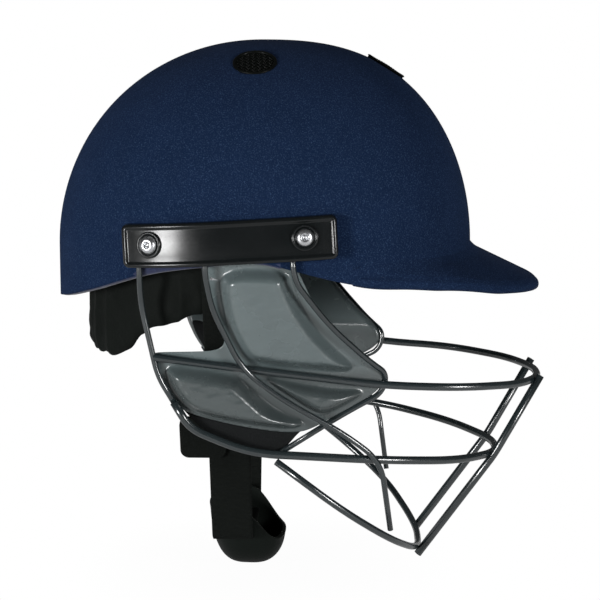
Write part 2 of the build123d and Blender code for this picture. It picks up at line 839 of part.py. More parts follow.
def hanger_blank(side, gap):
    """Flat strip of the hanger, or the room that it needs."""
    plane = hanger_plane(side, shell_in + hanger_gap)
    low = -strap_tab_reach - gap
    high = strap_pivot_drop - hanger_top + gap
    face = plane.offset(gap) * Pos(0, (low + high) / 2) * Rectangle(hanger_width + 2 * gap, high - low)
    return extrude(face, amount=-hanger_thickness - 2 * gap, dir=plane.z_dir)


def hanger_rivet_bars(side, grow):
    """Shanks of the two rivets that hold a hanger to the shell."""
    bars = []
    for turn in (-1, 1):
        plane = wall_plane(strap_x, -hanger_rivet_drop, shell_in, side)
        plane = Plane(origin=plane.origin + plane.x_dir * turn * hanger_rivet_spacing / 2, x_dir=plane.x_dir, z_dir=plane.z_dir)
        bars.append(round_bar(plane, hanger_rivet_diameter + grow, -hanger_gap - hanger_thickness, hanger_rivet_depth))
    return bars


def strap_hanger(side):
    """Steel strip inside the shell that the chin strap turns on."""
    plate = hanger_blank(side, 0)
    plate = plate - round_bar(hanger_plane(side, shell_in + hanger_gap), pivot_diameter, -overrun, overrun)
    return plate - hanger_rivet_bars(side, 0)


def hanger_rivets():
    """Four small rivets through the hangers into the shell."""
    parts = []
    for side in (1, -1):
        parts.extend(hanger_rivet_bars(side, 0))
    return Compound(parts)


def strap_plane(side):
    """Plane of the strap's outer face at its pivot."""
    return hanger_plane(side, shell_in + hanger_gap + hanger_thickness + strap_gap)


def strap_pivots():
    """Headed pins through the hangers and the strap ends."""
    parts = []
    for side in (1, -1):
        plane = strap_plane(side)
        shank = round_bar(plane, pivot_diameter, -strap_thickness - strap_gap, strap_gap + hanger_thickness)
        head = round_bar(plane, pivot_head, -strap_thickness - strap_gap - pivot_head_thickness, -strap_thickness - strap_gap)
        parts.append(shank + head)
    return Compound(parts)


def strap_points():
    """Front view route of the strap's middle, from the left end down and up to the right."""
    y = strap_plane(1).origin.Y - strap_thickness / 2
    top = -strap_pivot_drop + strap_tab_reach
    low = -strap_pivot_drop - strap_tab_reach * 2
    left = [(y, top), (y, low), strap_knee, strap_corner]
    points = [(strap_x, a, b) for a, b in left]
    return points + [(x, -a, b) for x, a, b in reversed(points)]


def strap_radii():
    return [strap_top_radius, strap_knee_radius, strap_corner_radius]


def chin_strap():
    """Elastic band from ear to ear under the chin."""
    radii = strap_radii()
    path = FilletPolyline(*strap_points(), radius=radii + radii[::-1])
    plane = Plane(origin=path @ 0, x_dir=(1, 0, 0), z_dir=path % 0)
    band = sweep(plane * Rectangle(strap_width, strap_thickness), path=path)
    for side in (1, -1):
        band = band - round_bar(strap_plane(side), pivot_diameter + 2 * pivot_fit, -overrun / 3, overrun)
    return band


def leg_plane(share):
    """Plane across the right leg of the strap, between its knee and its corner."""
    knee = Vector(strap_x, -strap_knee[0], strap_knee[1])
    corner = Vector(strap_x, -strap_corner[0], strap_corner[1])
    return Plane(origin=knee + (corner - knee) * share, x_dir=(1, 0, 0), z_dir=(knee - corner))


def strap_tab():
    """Stitched end of the strap, lying on the outside of the right leg."""
    plane = leg_plane(tab_place_share)
    outside = plane.y_dir if plane.y_dir.Y < 0 else -plane.y_dir
    origin = plane.origin + outside * (strap_thickness / 2 + strap_gap / 3) - Vector(tab_reach, 0, 0)
    face = Plane(origin=origin, x_dir=(1, 0, 0), z_dir=outside) * RectangleRounded(tab_length, tab_height, tab_corner)
    return extrude(face, amount=tab_thickness, dir=outside)


def chin_cup():
    """Open bowl for the chin, dipped at the front and slotted at both ends for the strap."""
    sizes = (cup_length / 2, cup_width / 2, cup_depth)
    outside = scale(Sphere(1), by=sizes, about=(0, 0, 0))
    inside = scale(Sphere(1), by=tuple(size - cup_wall for size in sizes), about=(0, 0, 0))
    above = Pos(0, 0, cup_depth) * Box(cup_length * 2, cup_width * 2, cup_depth * 2)
    cup = Pos(cup_x, 0, cup_top) * (outside - inside - above)
    cup = cup - side_prism(Plane.XZ * Pos(cup_dip_x, cup_top + cup_dip_rise) * Circle(cup_dip_radius))
    slot = Box(strap_width + 2 * cup_slot_gap, cup_width * 2, strap_thickness + 2 * cup_slot_gap)
    return cup - Pos(strap_x, 0, strap_corner[1]) * slot


def assemble():
    """All nodes by name."""
    nodes = {"outer_shell": outer_shell(), "cloth_cover": cloth_cover(), "rim_binding": rim_binding(),
             "foam_liner": foam_liner(), "crown_pad": crown_pad(), "brow_pad": brow_pad(), "nape_pad": nape_pad(),
             "cup_washers": cup_washers(), "guard_screws": guard_screws(), "tee_nuts": tee_nuts(),
             "hanger_rivets": hanger_rivets(), "strap_pivots": strap_pivots(), "chin_strap": chin_strap(),
             "strap_tab": strap_tab(), "chin_cup": chin_cup()}
    nodes.update(guard_wires())
    pad = ear_pad()
    plate = side_plate(1)
    bracket = guard_bracket(1)
    temple = temple_pad(1)
    for side, name in ((1, "left"), (-1, "right")):
        nodes["temple_pad_" + name] = mirrored_part(temple, side)
        nodes["side_plate_" + name] = mirrored_part(plate, side)
        nodes["guard_bracket_" + name] = mirrored_part(bracket, side)
        nodes["ear_pad_" + name] = mirrored_part(pad, side)
        nodes["strap_hanger_" + name] = strap_hanger(side)
    for name in ("left", "right", "front"):
        nodes["vent_grille_" + name] = vent_grille(name)
    return nodes


os.makedirs("parts", exist_ok=True)
for node, shape in assemble().items():
    export_step(shape, "parts/" + node + ".step")
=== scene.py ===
# %% [markdown]
# # A batting helmet, dressed over its solid model
# The solid model says where every piece is and how it moves. This script
# gives the pieces their looks: cloth over the shell, moulded ear pads, coated
# wires, soft linings, and the strap with its chin cup. New pieces are surfaces
# worked out with numpy. All sizes are in metres, and mm turns millimetres
# into metres.

# %% Load the frame
from math import atan2, cos, pi, radians, sin, sqrt, tan
import bmesh
import bpy
import numpy as np
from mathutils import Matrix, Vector


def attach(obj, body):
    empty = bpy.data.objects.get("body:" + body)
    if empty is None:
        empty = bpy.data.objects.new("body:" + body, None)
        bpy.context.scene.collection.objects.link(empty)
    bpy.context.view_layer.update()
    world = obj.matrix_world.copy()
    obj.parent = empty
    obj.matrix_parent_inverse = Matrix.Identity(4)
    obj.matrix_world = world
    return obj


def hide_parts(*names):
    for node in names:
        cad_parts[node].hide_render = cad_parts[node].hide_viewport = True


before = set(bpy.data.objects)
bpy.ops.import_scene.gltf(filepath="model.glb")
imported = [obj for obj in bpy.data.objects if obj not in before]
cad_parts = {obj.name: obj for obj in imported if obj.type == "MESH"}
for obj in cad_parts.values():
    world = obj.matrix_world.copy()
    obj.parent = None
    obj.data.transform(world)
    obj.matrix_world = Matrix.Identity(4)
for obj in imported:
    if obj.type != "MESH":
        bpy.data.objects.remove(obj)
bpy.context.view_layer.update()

mm = 0.001
scene = bpy.context.scene
scene.view_settings.view_transform = "Standard"


def placed(name, data):
    """New object of the scene that shows some data."""
    item = bpy.data.objects.new(name, data)
    scene.collection.objects.link(item)
    return item


# %% [markdown]
# ## Camera, floor and light
# The photograph was taken from the wearer's right, two degrees round to the
# front and a little from above, with a long lens. A camera aimed at a point
# and held at a distance copies that. The background is plain white, so the
# floor and the backdrop are white to the camera and keep a soft shadow.

# %% Camera
aim = np.array((19.2, 0.0, -133.8)) * mm
camera_distance = 1.0
camera_turn = radians(2.0)
camera_rise = radians(8.5)
sensor = 36.0
photo_width = 600.0
focal_pixels = 1667.0
camera_back = np.array((sin(camera_turn) * cos(camera_rise), -cos(camera_turn) * cos(camera_rise),
                        sin(camera_rise)))


def aimed(item, place):
    """Put a camera or a lamp at a place and turn it towards the aim point."""
    item.location = place
    item.rotation_euler = (Vector(aim) - Vector(place)).to_track_quat("-Z", "Y").to_euler()
    return item


camera_data = bpy.data.cameras.new("camera")
camera_data.sensor_width = sensor
camera_data.lens = sensor * focal_pixels / photo_width
scene.camera = aimed(placed("camera", camera_data), aim + camera_distance * camera_back)
print("camera lens:", round(camera_data.lens, 1), "mm")

# %% [markdown]
# A shader is easier to read as a sum than as a web of nodes. `Socket` wraps a
# node's output so that + - * / add Math nodes, and `Finish` starts a material,
# with the piece's own coordinates as its place, and adds any other node by type.

# %% Shader maths
def arithmetic(operation, swap=False):
    """Operator of the class below: it adds one Math node."""
    return lambda self, other: self.calculate(operation, other, swap)


def feed(tree, socket, value):
    """Link a node's input to a Socket or set its value, where a colour of three numbers gets its alpha."""
    if isinstance(value, Socket):
        tree.links.new(value.output, socket)
    elif isinstance(value, tuple) and len(value) == 3:
        socket.default_value = (*value, 1.0)
    else:
        socket.default_value = value


class Socket:
    """A node's output that can be used in sums."""

    def __init__(self, tree, output):
        self.tree = tree
        self.output = output

    def calculate(self, operation, other=None, swap=False):
        """Add a Math node. Its first value is this socket, or the other value where they are swapped."""
        node = self.tree.nodes.new("ShaderNodeMath")
        node.operation = operation
        for socket, value in zip(node.inputs, (other, self) if swap else (self, other)):
            if value is not None:
                feed(self.tree, socket, value)
        return Socket(self.tree, node.outputs[0])

    __add__ = __radd__ = arithmetic("ADD")
    __mul__ = __rmul__ = arithmetic("MULTIPLY")
    __sub__, __rsub__ = arithmetic("SUBTRACT"), arithmetic("SUBTRACT", swap=True)
    __truediv__, __pow__ = arithmetic("DIVIDE"), arithmetic("POWER")

    def sine(self):
        return self.calculate("SINE")

    def clamped(self):
        return self.calculate("MAXIMUM", 0.0).calculate("MINIMUM", 1.0)


class Finish:
    """A material with one Principled shader, built node by node."""

    def __init__(self, name, **constants):
        self.material = bpy.data.materials.new(name)
        self.material.use_nodes = True
        self.tree = self.material.node_tree
        self.tree.nodes.clear()
        self.shader = self.tree.nodes.new("ShaderNodeBsdfPrincipled")
        output = self.tree.nodes.new("ShaderNodeOutputMaterial")
        self.tree.links.new(self.shader.outputs[0], output.inputs[0])
        self.place = self.node("TexCoord", output=3)
        for key, value in constants.items():
            self.give(key.replace("_", " ").title().replace("Ior", "IOR"), value)

    def give(self, name, value):
        """Set or link one input of the shader. It returns the finish, so that calls can be chained."""
        feed(self.tree, self.shader.inputs[name], value)
        return self

    def node(self, kind, output=0, settings=None, **values):
        """Any node: its settings, then its inputs by name, with _ for a blank, or by s and a number."""
        node = self.tree.nodes.new("ShaderNode" + kind)
        for key, value in (settings or {}).items():
            setattr(node, key, value)
        for key, value in values.items():
            name = int(key[1:]) if key[1:].isdigit() else key.replace("_", " ").title()
            feed(self.tree, node.inputs[name], value)
        return Socket(self.tree, node.outputs[output])

    def noise(self, scale, detail=3.0, roughness=0.5):
        return self.node("TexNoise", vector=self.place, scale=scale, detail=detail, roughness=roughness)

    def cells(self, scale):
        return self.node("TexVoronoi", vector=self.place, scale=scale)

    def mix(self, factor, first, second):
        """Colour between two colours by a factor."""
        return self.node("Mix", 2, {"data_type": "RGBA"}, s0=factor, s6=first, s7=second)

    def colour(self, factor, first, second):
        """Give the shader a colour between two."""
        return self.give("Base Color", self.mix(factor, first, second))

    def rough(self, value):
        return self.give("Roughness", value)

    def bump(self, height, distance, strength):
        """Tilt the normal by the slope of a height, over a distance in millimetres."""
        bump = self.node("Bump", height=height, distance=distance * mm, strength=strength)
        return self.give("Normal", bump)


print("shader maths ready")

# %% [markdown]
# The floor lies just under the chin cup. Light Path tells the camera's own
# rays from the rest: those see white nearly everywhere, apart from a faint
# shadow near the helmet, while light and reflections see a plain pale floor.

# %% Floor, backdrop and lamps
floor_level = -0.2975
floor_reach = 6.0
shadow_share = 0.22
shadow_reach = 0.32
glossy_share = 0.25
world_strength = 0.07
# Each lamp's name, place, size, power and whether reflections show it.
lamps = (("key", (-1.1, -1.35, 0.0), 0.4, 25.0, True), ("fill", (1.25, -1.2, 0.2), 0.4, 17.0, True),
         ("far", (0.3, 1.7, 0.1), 0.8, 16.0, False), ("back", (-1.6, 0.3, 0.0), 0.8, 5.0, False))


def pale_stage():
    """Pale floor material: part plain diffuse, part white light for rays that look straight at it."""
    finish = Finish("pale_stage", roughness=0.9, base_color=(0.86, 0.86, 0.86))
    white = finish.tree.nodes.new("ShaderNodeEmission")
    mixer = finish.tree.nodes.new("ShaderNodeMixShader")
    camera_ray = finish.node("LightPath", output=0)
    glossy_ray = finish.node("LightPath", output=3)
    away = finish.node("VectorMath", 1, {"operation": "LENGTH"}, s0=finish.place)
    near = (1.0 - (away / shadow_reach) ** 2.0).clamped()
    seen = camera_ray * (1.0 - near * shadow_share) + glossy_ray * glossy_share
    finish.tree.links.new(seen.output, mixer.inputs[0])
    finish.tree.links.new(finish.shader.outputs[0], mixer.inputs[1])
    finish.tree.links.new(white.outputs[0], mixer.inputs[2])
    output = [n for n in finish.tree.nodes if n.type == "OUTPUT_MATERIAL"][0]
    finish.tree.links.new(mixer.outputs[0], output.inputs[0])
    return finish.material


def stage_floor():
    """Square floor at one level."""
    corners = np.array([(-1, -1), (1, -1), (1, 1), (-1, 1)]) * floor_reach
    points = [(x, y, floor_level) for x, y in corners]
    mesh = bpy.data.meshes.new("floor")
    mesh.from_pydata(points, [], [(0, 1, 2, 3)])
    mesh.materials.append(pale_stage())
    placed("floor", mesh)


def lamp(name, place, size, power, in_reflections):
    """Square area lamp aimed at the helmet."""
    data = bpy.data.lights.new(name, "AREA")
    data.size = size
    data.energy = power
    aimed(placed(name, data), place).visible_glossy = in_reflections


def white_world():
    """World that lights softly and is white where it is looked at."""
    world = bpy.data.worlds.new("world")
    world.use_nodes = True
    tree = world.node_tree
    tree.nodes.clear()
    path = tree.nodes.new("ShaderNodeLightPath")
    background = tree.nodes.new("ShaderNodeBackground")
    output = tree.nodes.new("ShaderNodeOutputWorld")
    seen = Socket(tree, path.outputs[0])
    strength = seen * (1.0 - world_strength) + world_strength
    tree.links.new(strength.output, background.inputs[1])
    background.inputs[0].default_value = (1.0, 1.0, 1.0, 1.0)
    tree.links.new(background.outputs[0], output.inputs[0])
    scene.world = world


stage_floor()
white_world()
for row in lamps:
    lamp(*row)
print("lamps:", len(lamps))

# %% [markdown]
# ## Surfaces from grids
# Nearly every new piece is a grid of points that a formula gives for two
# parameters. `surface` turns such a grid into a mesh, with a UV map that
# follows the two parameters, closes its poles and points its faces outwards.
# `dressed` then gives the piece its material and ties it to the solid model.

# %% Grid to mesh
weld_distance = 0.01 * mm


def surface(name, points, lengths=(1.0, 1.0), wrap=True):
    """Mesh from rows x columns of points. Corner k of a face is one of four neighbours,
    found as row * columns + column, and the last column joins the first where it wraps."""
    rows, columns = points.shape[:2]
    across = columns if wrap else columns - 1
    row, column = np.meshgrid(np.arange(rows - 1), np.arange(across), indexing="ij")
    along = (column + 1) % columns
    faces = np.stack((row * columns + column, row * columns + along,
                      (row + 1) * columns + along, (row + 1) * columns + column), -1)
    u = np.stack((column, column + 1, column + 1, column), -1) / across * lengths[0]
    v = np.stack((row, row, row + 1, row + 1), -1) / (rows - 1) * lengths[1]
    mesh = bpy.data.meshes.new(name)
    mesh.from_pydata(points.reshape(-1, 3).tolist(), [], faces.reshape(-1, 4).tolist())
    uv_map = mesh.uv_layers.new(name="along")
    uv_map.data.foreach_set("uv", np.stack((u, v), -1).ravel().astype(np.float32))
    return cleaned(name, mesh)


def cleaned(name, mesh):
    """Object of a mesh with its doubles merged and its faces pointing outwards."""
    work = bmesh.new()
    work.from_mesh(mesh)
    bmesh.ops.remove_doubles(work, verts=work.verts, dist=weld_distance)
    bmesh.ops.dissolve_degenerate(work, edges=work.edges, dist=weld_distance / 2)
    bmesh.ops.recalc_face_normals(work, faces=work.faces)
    work.to_mesh(mesh)
    work.free()
    mesh.polygons.foreach_set("use_smooth", np.ones(len(mesh.polygons), bool))
    return placed(name, mesh)


def joined(name, pieces):
    """One object of several: their meshes are stacked end to end."""
    work = bmesh.new()
    for piece in pieces:
        work.from_mesh(piece.data)
    work.to_mesh(pieces[0].data)
    work.free()
    for piece in pieces[1:]:
        bpy.data.objects.remove(piece)
    pieces[0].name = name
    return pieces[0]


def dressed(piece, finish, stands_for=(), body="helmet"):
    """Give a piece its material and body, and hide the solids it stands for."""
    piece.data.materials.clear()
    piece.data.materials.append(finish.material)
    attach(piece, body)
    if stands_for:
        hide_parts(*stands_for)
    print(piece.name, "faces:", len(piece.data.polygons))


def baked(piece, *modifiers):
    """Add modifiers, given as (type, settings), and apply them to the mesh."""
    for kind, settings in modifiers:
        modifier = piece.modifiers.new(kind.lower(), kind)
        for key, value in settings.items():
            setattr(modifier, key, value)
    bpy.context.view_layer.update()
    graph = bpy.context.evaluated_depsgraph_get()
    mesh = bpy.data.meshes.new_from_object(piece.evaluated_get(graph))
    piece.modifiers.clear()
    old = piece.data
    piece.data = mesh
    bpy.data.meshes.remove(old)
    return piece


def thickened(piece, thickness):
    """Give a sheet a real thickness inwards."""
    baked(piece, ("SOLIDIFY", {"thickness": thickness, "offset": -1.0}))


def stacked(*values):
    """Arrays, brought to one shape, as the last axis of one array."""
    return np.stack(np.broadcast_arrays(*values), -1)


def circle(count):
    """Evenly spaced angles all the way round."""
    return np.linspace(0, 2 * pi, count, endpoint=False)


def smooth_through(xs, ys, x):
    """Smooth curve through points: cubic pieces whose slopes are the mean of both sides."""
    xs, ys = np.asarray(xs, float), np.asarray(ys, float)
    slopes = np.gradient(ys, xs)
    x = np.clip(x, xs[0], xs[-1])
    i = np.clip(np.searchsorted(xs, x) - 1, 0, len(xs) - 2)
    step = xs[i + 1] - xs[i]
    t = (x - xs[i]) / step
    return ((2 * t**3 - 3 * t**2 + 1) * ys[i] + (t**3 - 2 * t**2 + t) * step * slopes[i]
            + (3 * t**2 - 2 * t**3) * ys[i + 1] + (t**3 - t**2) * step * slopes[i + 1])


def ramp(value, start, end):
    """Smooth step from 0 at start to 1 at end."""
    t = np.clip((value - start) / (end - start), 0, 1)
    return t * t * (3 - 2 * t)


wave_spread = (0.6, 1.7)
tiny = 1e-12


def ripples(points, wave, seed, waves=24):
    """Uneven waves over space: a sum of sines in seeded random directions, from about -1 to 1."""
    chance = np.random.default_rng(seed)
    total = np.zeros(points.shape[:-1])
    for turn in range(waves):
        direction = chance.normal(size=3)
        direction *= 2 * pi / wave / np.linalg.norm(direction) * chance.uniform(*wave_spread)
        total += np.sin(points @ direction + chance.uniform(0, 2 * pi))
    return total / sqrt(waves)


def grid_normals(points, centre):
    """Unit normals of a grid that wraps round, pointing away from a centre."""
    normal = np.cross(np.roll(points, -1, 1) - np.roll(points, 1, 1), np.gradient(points, axis=0))
    normal /= np.maximum(np.linalg.norm(normal, axis=-1, keepdims=True), tiny)
    return normal * np.sign((normal * (points - centre)).sum(-1, keepdims=True))


print("grid tools ready")

# %% [markdown]
# ## The dome's form
# The solid dome is a straight-sided oval. The real one is rounder, a little
# fuller at the front than at the back. Its level curves are superellipses
# whose half axes shrink towards the crown, and below the widest level the
# wall goes straight down to the rim.

# %% Dome form
dome_length = 242.0 * mm
dome_width = 208.0 * mm
dome_rise = 118.0 * mm
dome_setback = 1.2 * mm
crown_stack = 20.4 * mm
equator = crown_stack - dome_rise
middle_half = (dome_length - dome_width) / 2
dome_fullness = 1.9
front_fullness, back_fullness, side_fullness = 2.58, 2.08, 1.88
plan_fullness = 2.27
lean_sharpness = 2.5
halvings = 40
cloth_swell = 0.35 * mm
rim_drop = 34.0 * mm
rim_along = (-1.12, -0.767, -0.461, -0.221, 0.02, 0.208, 0.431, 0.84, 1.32)
rim_drops = (1.05, 0.57, 0.20, 0.07, 0.02, 0.19, 0.39, 0.52, 0.60)


def half_axes(turn, forward):
    """Half length and half width of the cloth's level curve. Forward is 1 ahead and -1 to the back."""
    lean = 0.5 + 0.5 * np.tanh(lean_sharpness * forward)
    ahead = back_fullness + (front_fullness - back_fullness) * lean
    level = np.cos(turn)
    return ((dome_length / 2 + cloth_swell) * level ** (2 / ahead),
            (dome_width / 2 + cloth_swell) * level ** (2 / side_fullness))


def cover_point(turn, heading):
    """Point of the cloth: x and y follow a superellipse whose half axes are powers of cos(turn),
    and the height is the rise times sin(turn)."""
    c, s = np.cos(heading), np.sin(heading)
    long, wide = half_axes(turn, c)
    x = long * np.sign(c) * np.abs(c) ** (2 / plan_fullness) - dome_setback
    y = wide * np.sign(s) * np.abs(s) ** (2 / plan_fullness)
    z = equator + (dome_rise + cloth_swell) * np.sin(turn)
    return stacked(x, y, z)


def rim_level(x):
    """Height of the rim at a place along the helmet."""
    share = (x + dome_setback) / (dome_length / 2)
    return equator - rim_drop * smooth_through(rim_along, rim_drops, share)


def cover_height(x, y):
    """Height of the cloth over a place in plan, found by halving the turn."""
    low, high = np.zeros_like(x), np.full_like(x, pi / 2)
    for halving in range(halvings):
        turn = (low + high) / 2
        long, wide = half_axes(turn, np.sign(x + dome_setback))
        ahead, aside = np.abs((x + dome_setback) / long), np.abs(y / wide)
        outside = ahead**plan_fullness + aside**plan_fullness > 1
        high = np.where(outside, turn, high)
        low = np.where(outside, low, turn)
    return equator + (dome_rise + cloth_swell) * np.sin(low)


print("crown height:", round(float(cover_point(np.array(pi / 2), np.array(0.0))[2]) / mm, 1), "mm")

# %% [markdown]
# ## Form of the peak
# The peak is a crescent that slopes down to the front. Its outer edge is half
# an ellipse in plan, and its section is an arch that falls away to the sides.

# %% Peak form
peak_middle = 30.0 * mm
peak_reach = 41.0 * mm
peak_half_length = dome_length / 2 - dome_setback + peak_reach - peak_middle
peak_half_width = 99.0 * mm
peak_start = 38.0 * mm
peak_slope = tan(radians(25.5))
peak_root_drop = 2.4 * mm
arch_half_width = 98.0 * mm
peak_arch_drop = 39.3 * mm
arch_along = (-1.08, -1.0, -0.94, -0.85, -0.58, -0.35, 0.0, 0.35, 0.58, 0.85, 0.94, 1.0, 1.08)
arch_drops = (1.42, 1.0, 0.73, 0.50, 0.19, 0.05, 0.0, 0.05, 0.19, 0.50, 0.73, 1.0, 1.42)


def peak_level(x, y):
    """Height of the peak's top: a slope along the helmet less the drop of its arch."""
    root = equator - peak_root_drop + peak_slope * (dome_length / 2 - dome_setback - peak_start)
    arch = smooth_through(arch_along, arch_drops, y / arch_half_width)
    return root - peak_slope * (x - peak_start) - peak_arch_drop * arch


def peak_outer(turn):
    """Outer edge of the peak in plan."""
    return stacked(peak_middle + peak_half_length * np.cos(turn), peak_half_width * np.sin(turn))


def dome_outline(turn):
    """Round front end of the dome in plan."""
    radius = dome_width / 2
    return stacked(middle_half - dome_setback + radius * np.cos(turn), radius * np.sin(turn))


first_turn = 0.3


def outline_meeting():
    """Turns at which the peak's edge meets the dome, by halving."""
    low, high = first_turn, pi / 2
    for halving in range(halvings):
        turn = (low + high) / 2
        x, y = peak_outer(turn)
        inside = (x - middle_half + dome_setback) ** 2 + y**2 < (dome_width / 2) ** 2
        low, high = (low, turn) if inside else (turn, high)
    x, y = peak_outer(low)
    return low, atan2(y, x - middle_half + dome_setback)


edge_turn, root_turn = outline_meeting()
print("the peak meets the dome at x =", round(peak_outer(edge_turn)[0] / mm, 1), "mm")

# %% [markdown]
# ## Cloth over the shell
# The cloth is navy, dull and slightly felted, with a fine pale fleck, and its
# panels meet in soft ridges. The dome and the peak are two surfaces with a
# real thickness. The fleck and the nap come from noise far finer than a
# thread, and the ridges are shaped in the mesh.

# %% Cloth finish
def navy_cloth():
    """Dull navy that varies in patches, with a pale fleck where fine noise peaks."""
    finish = Finish("navy_cloth", roughness=0.95, sheen_weight=0.02, sheen_roughness=0.5,
                    sheen_tint=(0.35, 0.42, 0.62), specular_ior_level=0.04)
    fleck = finish.noise(1500.0, 2.0, 0.7)
    dark = finish.mix(finish.noise(60.0), (0.0042, 0.0108, 0.031), (0.0066, 0.0158, 0.044))
    shade = ((fleck - 0.52) * 5.0).clamped()
    finish.colour(shade * 0.75, dark, (0.032, 0.060, 0.125))
    return finish.bump(finish.noise(900.0, 3.0, 0.6) + fleck * 0.5, 0.25, 0.55)


cloth_finish = navy_cloth()
cloth_thickness = 1.0 * mm
print("cloth finish ready")

# %% Dome cloth
dome_columns = 288
dome_rows = 72
skirt_rows = 10
row_crowding = 0.9
ridge_height = 0.7 * mm
ridge_width = 5.0 * mm
panel_front, panel_back = 107.0 * mm, -80.0 * mm
front_bend, back_bend = -45.0 * mm, -50.0 * mm
front_slope, front_low_slope, back_slope = 0.9, 0.15, 0.55
panel_inner, panel_outer = 20 * mm, 34 * mm
panel_top, panel_fade = 20 * mm, 25 * mm
peak_from, peak_cover = 56 * mm, 2 * mm
wave_length, wave_height, wave_seed = 120 * mm, 0.12 * mm, 3


def panel_ridges(points):
    """How far the side panels stand proud: 1 inside the line where they meet the middle panel, else 0."""
    x, y, z = points[..., 0], np.abs(points[..., 1]), points[..., 2]
    front = (panel_front - front_slope * np.maximum(z - front_bend, 0)
             - front_low_slope * np.maximum(front_bend - z, 0))
    back = panel_back + back_slope * np.maximum(z - back_bend, 0)
    inside = ramp(front - x, -ridge_width, ridge_width) * ramp(x - back, -ridge_width, ridge_width)
    return inside * ramp(y, panel_inner, panel_outer) * ramp(panel_top - z, 0, panel_fade)


def dome_cloth():
    """Cloth from the rim up to the crown: rows of the skirt, then rows of the dome."""
    heading = circle(dome_columns)[None, :]
    turn = (np.linspace(0, 1, dome_rows) ** row_crowding * pi / 2)[:, None]
    dome = cover_point(turn, heading)
    foot = dome[0]
    under_peak = np.where(foot[:, 0] > peak_from, peak_level(foot[:, 0], foot[:, 1]) - peak_cover, -1)
    low = np.maximum(rim_level(foot[:, 0]), under_peak)
    share = np.linspace(0, 1, skirt_rows, endpoint=False)[:, None]
    skirt = np.repeat(foot[None], skirt_rows, 0)
    skirt[..., 2] = low + (foot[:, 2] - low) * share
    points = np.concatenate((skirt, dome))
    outward = grid_normals(points, aim)
    outward[-1] = (0, 0, 1)
    relief = panel_ridges(points) * ridge_height + ripples(points, wave_length, wave_seed) * wave_height
    points += outward * relief[..., None]
    points[-1] = points[-1].mean(0)
    return points


vent_places = {"left": (-4.5 * mm, 46 * mm), "right": (-4.5 * mm, -46 * mm), "front": (69.5 * mm, 0.0)}
vent_radius = 11.9 * mm
vent_sides = 64
cutter_depth = 20 * mm
slope_step = 2 * mm


def vent_centre(x, y):
    """Place and outward direction on the cloth over a place in plan, by small steps to each side."""
    near = slope_step * np.array((0, 1, -1, 0, 0))
    z, ahead, behind, left, right = cover_height(x + near, y + np.roll(near, 2))
    slopes = (behind - ahead) / (2 * slope_step), (right - left) / (2 * slope_step)
    return Vector((x, y, z)), Vector((*slopes, 1.0)).normalized()


def vent_cutter():
    """Short cylinders at the vents, to cut the cloth with."""
    work = bmesh.new()
    for centre, normal in vents.values():
        turned = normal.to_track_quat("Z", "Y").to_matrix().to_4x4()
        turned.translation = centre
        bmesh.ops.create_cone(work, cap_ends=True, segments=vent_sides, radius1=vent_radius,
                              radius2=vent_radius, depth=cutter_depth, matrix=turned)
    mesh = bpy.data.meshes.new("vent_cutter")
    work.to_mesh(mesh)
    work.free()
    return placed("vent_cutter", mesh)


vents = {name: vent_centre(*place) for name, place in vent_places.items()}


cover = surface("cover_dome", dome_cloth(), lengths=(0.75, 0.2))
thickened(cover, cloth_thickness)
cutter = vent_cutter()
baked(cover, ("BOOLEAN", {"operation": "DIFFERENCE", "object": cutter, "solver": "EXACT"}))
bpy.data.objects.remove(cutter)
dressed(cover, cloth_finish, ["cloth_cover"])

# %% Peak cloth
peak_columns = 160
peak_rows = 30
peak_overlap = -0.02
peak_inset = 1.8 * mm
peak_raise = 0.25 * mm
seam_rise, seam_width, seam_curve = 3.2 * mm, 9 * mm, 2.2
# Inset and height in millimetres, from the top edge round and under it.
peak_edge = ((1.1, -0.15), (0.4, -0.55), (-0.05, -1.3), (-0.3, -2.3), (-0.3, -3.4), (0.0, -4.5),
             (0.7, -5.3), (1.8, -5.9), (3.2, -6.1), (5.2, -6.0))


def peak_cloth():
    """Top of the peak from the seam to the edge, then round the edge and a little way under it."""
    side = np.linspace(-1, 1, peak_columns)
    outer, inner = peak_outer(side * edge_turn), dome_outline(side * root_turn)
    tangent = np.gradient(outer, axis=0)
    outward = stacked(tangent[:, 1], -tangent[:, 0])
    outward /= np.linalg.norm(outward, axis=-1, keepdims=True)
    share = np.linspace(peak_overlap, 1, peak_rows)[:, None, None]
    plan = inner + (outer - outward * peak_inset - inner) * share
    height = peak_level(plan[..., 0], plan[..., 1])
    width = np.linalg.norm(outer - inner, axis=-1)
    away = np.maximum(share[..., 0], 0) * width
    height = height + seam_rise * np.clip(1 - away / seam_width, 0, 1) ** seam_curve + peak_raise
    rows = [np.concatenate((plan, height[..., None]), -1)]
    edge_level = peak_level(outer[:, 0], outer[:, 1]) + peak_raise
    for inset, drop in peak_edge:
        at = outer - outward * inset * mm
        rows.append(np.concatenate((at, (edge_level + drop * mm)[:, None]), -1)[None])
    return np.concatenate(rows)


peak = surface("cover_peak", peak_cloth(), lengths=(0.3, 0.06), wrap=False)
thickened(peak, cloth_thickness)
dressed(peak, cloth_finish)

# %% [markdown]
# ## Wires and other kept solids
# The wires of the guard are steel rods with a satin black coat. Their solids
# have the right form but flat facets, which break a highlight into specks, so
# each is shown as a merged copy that shades smoothly. The hidden fittings and
# the foam liner stay as they are and only get a finish.

# %% Finishes of the wires and hidden solids
def satin_coat():
    """Black powder coat with a fine grain."""
    finish = Finish("satin_black_coat", base_color=(0.012, 0.018, 0.020), specular_ior_level=1.0)
    return finish.rough(finish.noise(120.0) * 0.08 + 0.17).bump(finish.noise(900.0, 2.0), 0.05, 0.5)


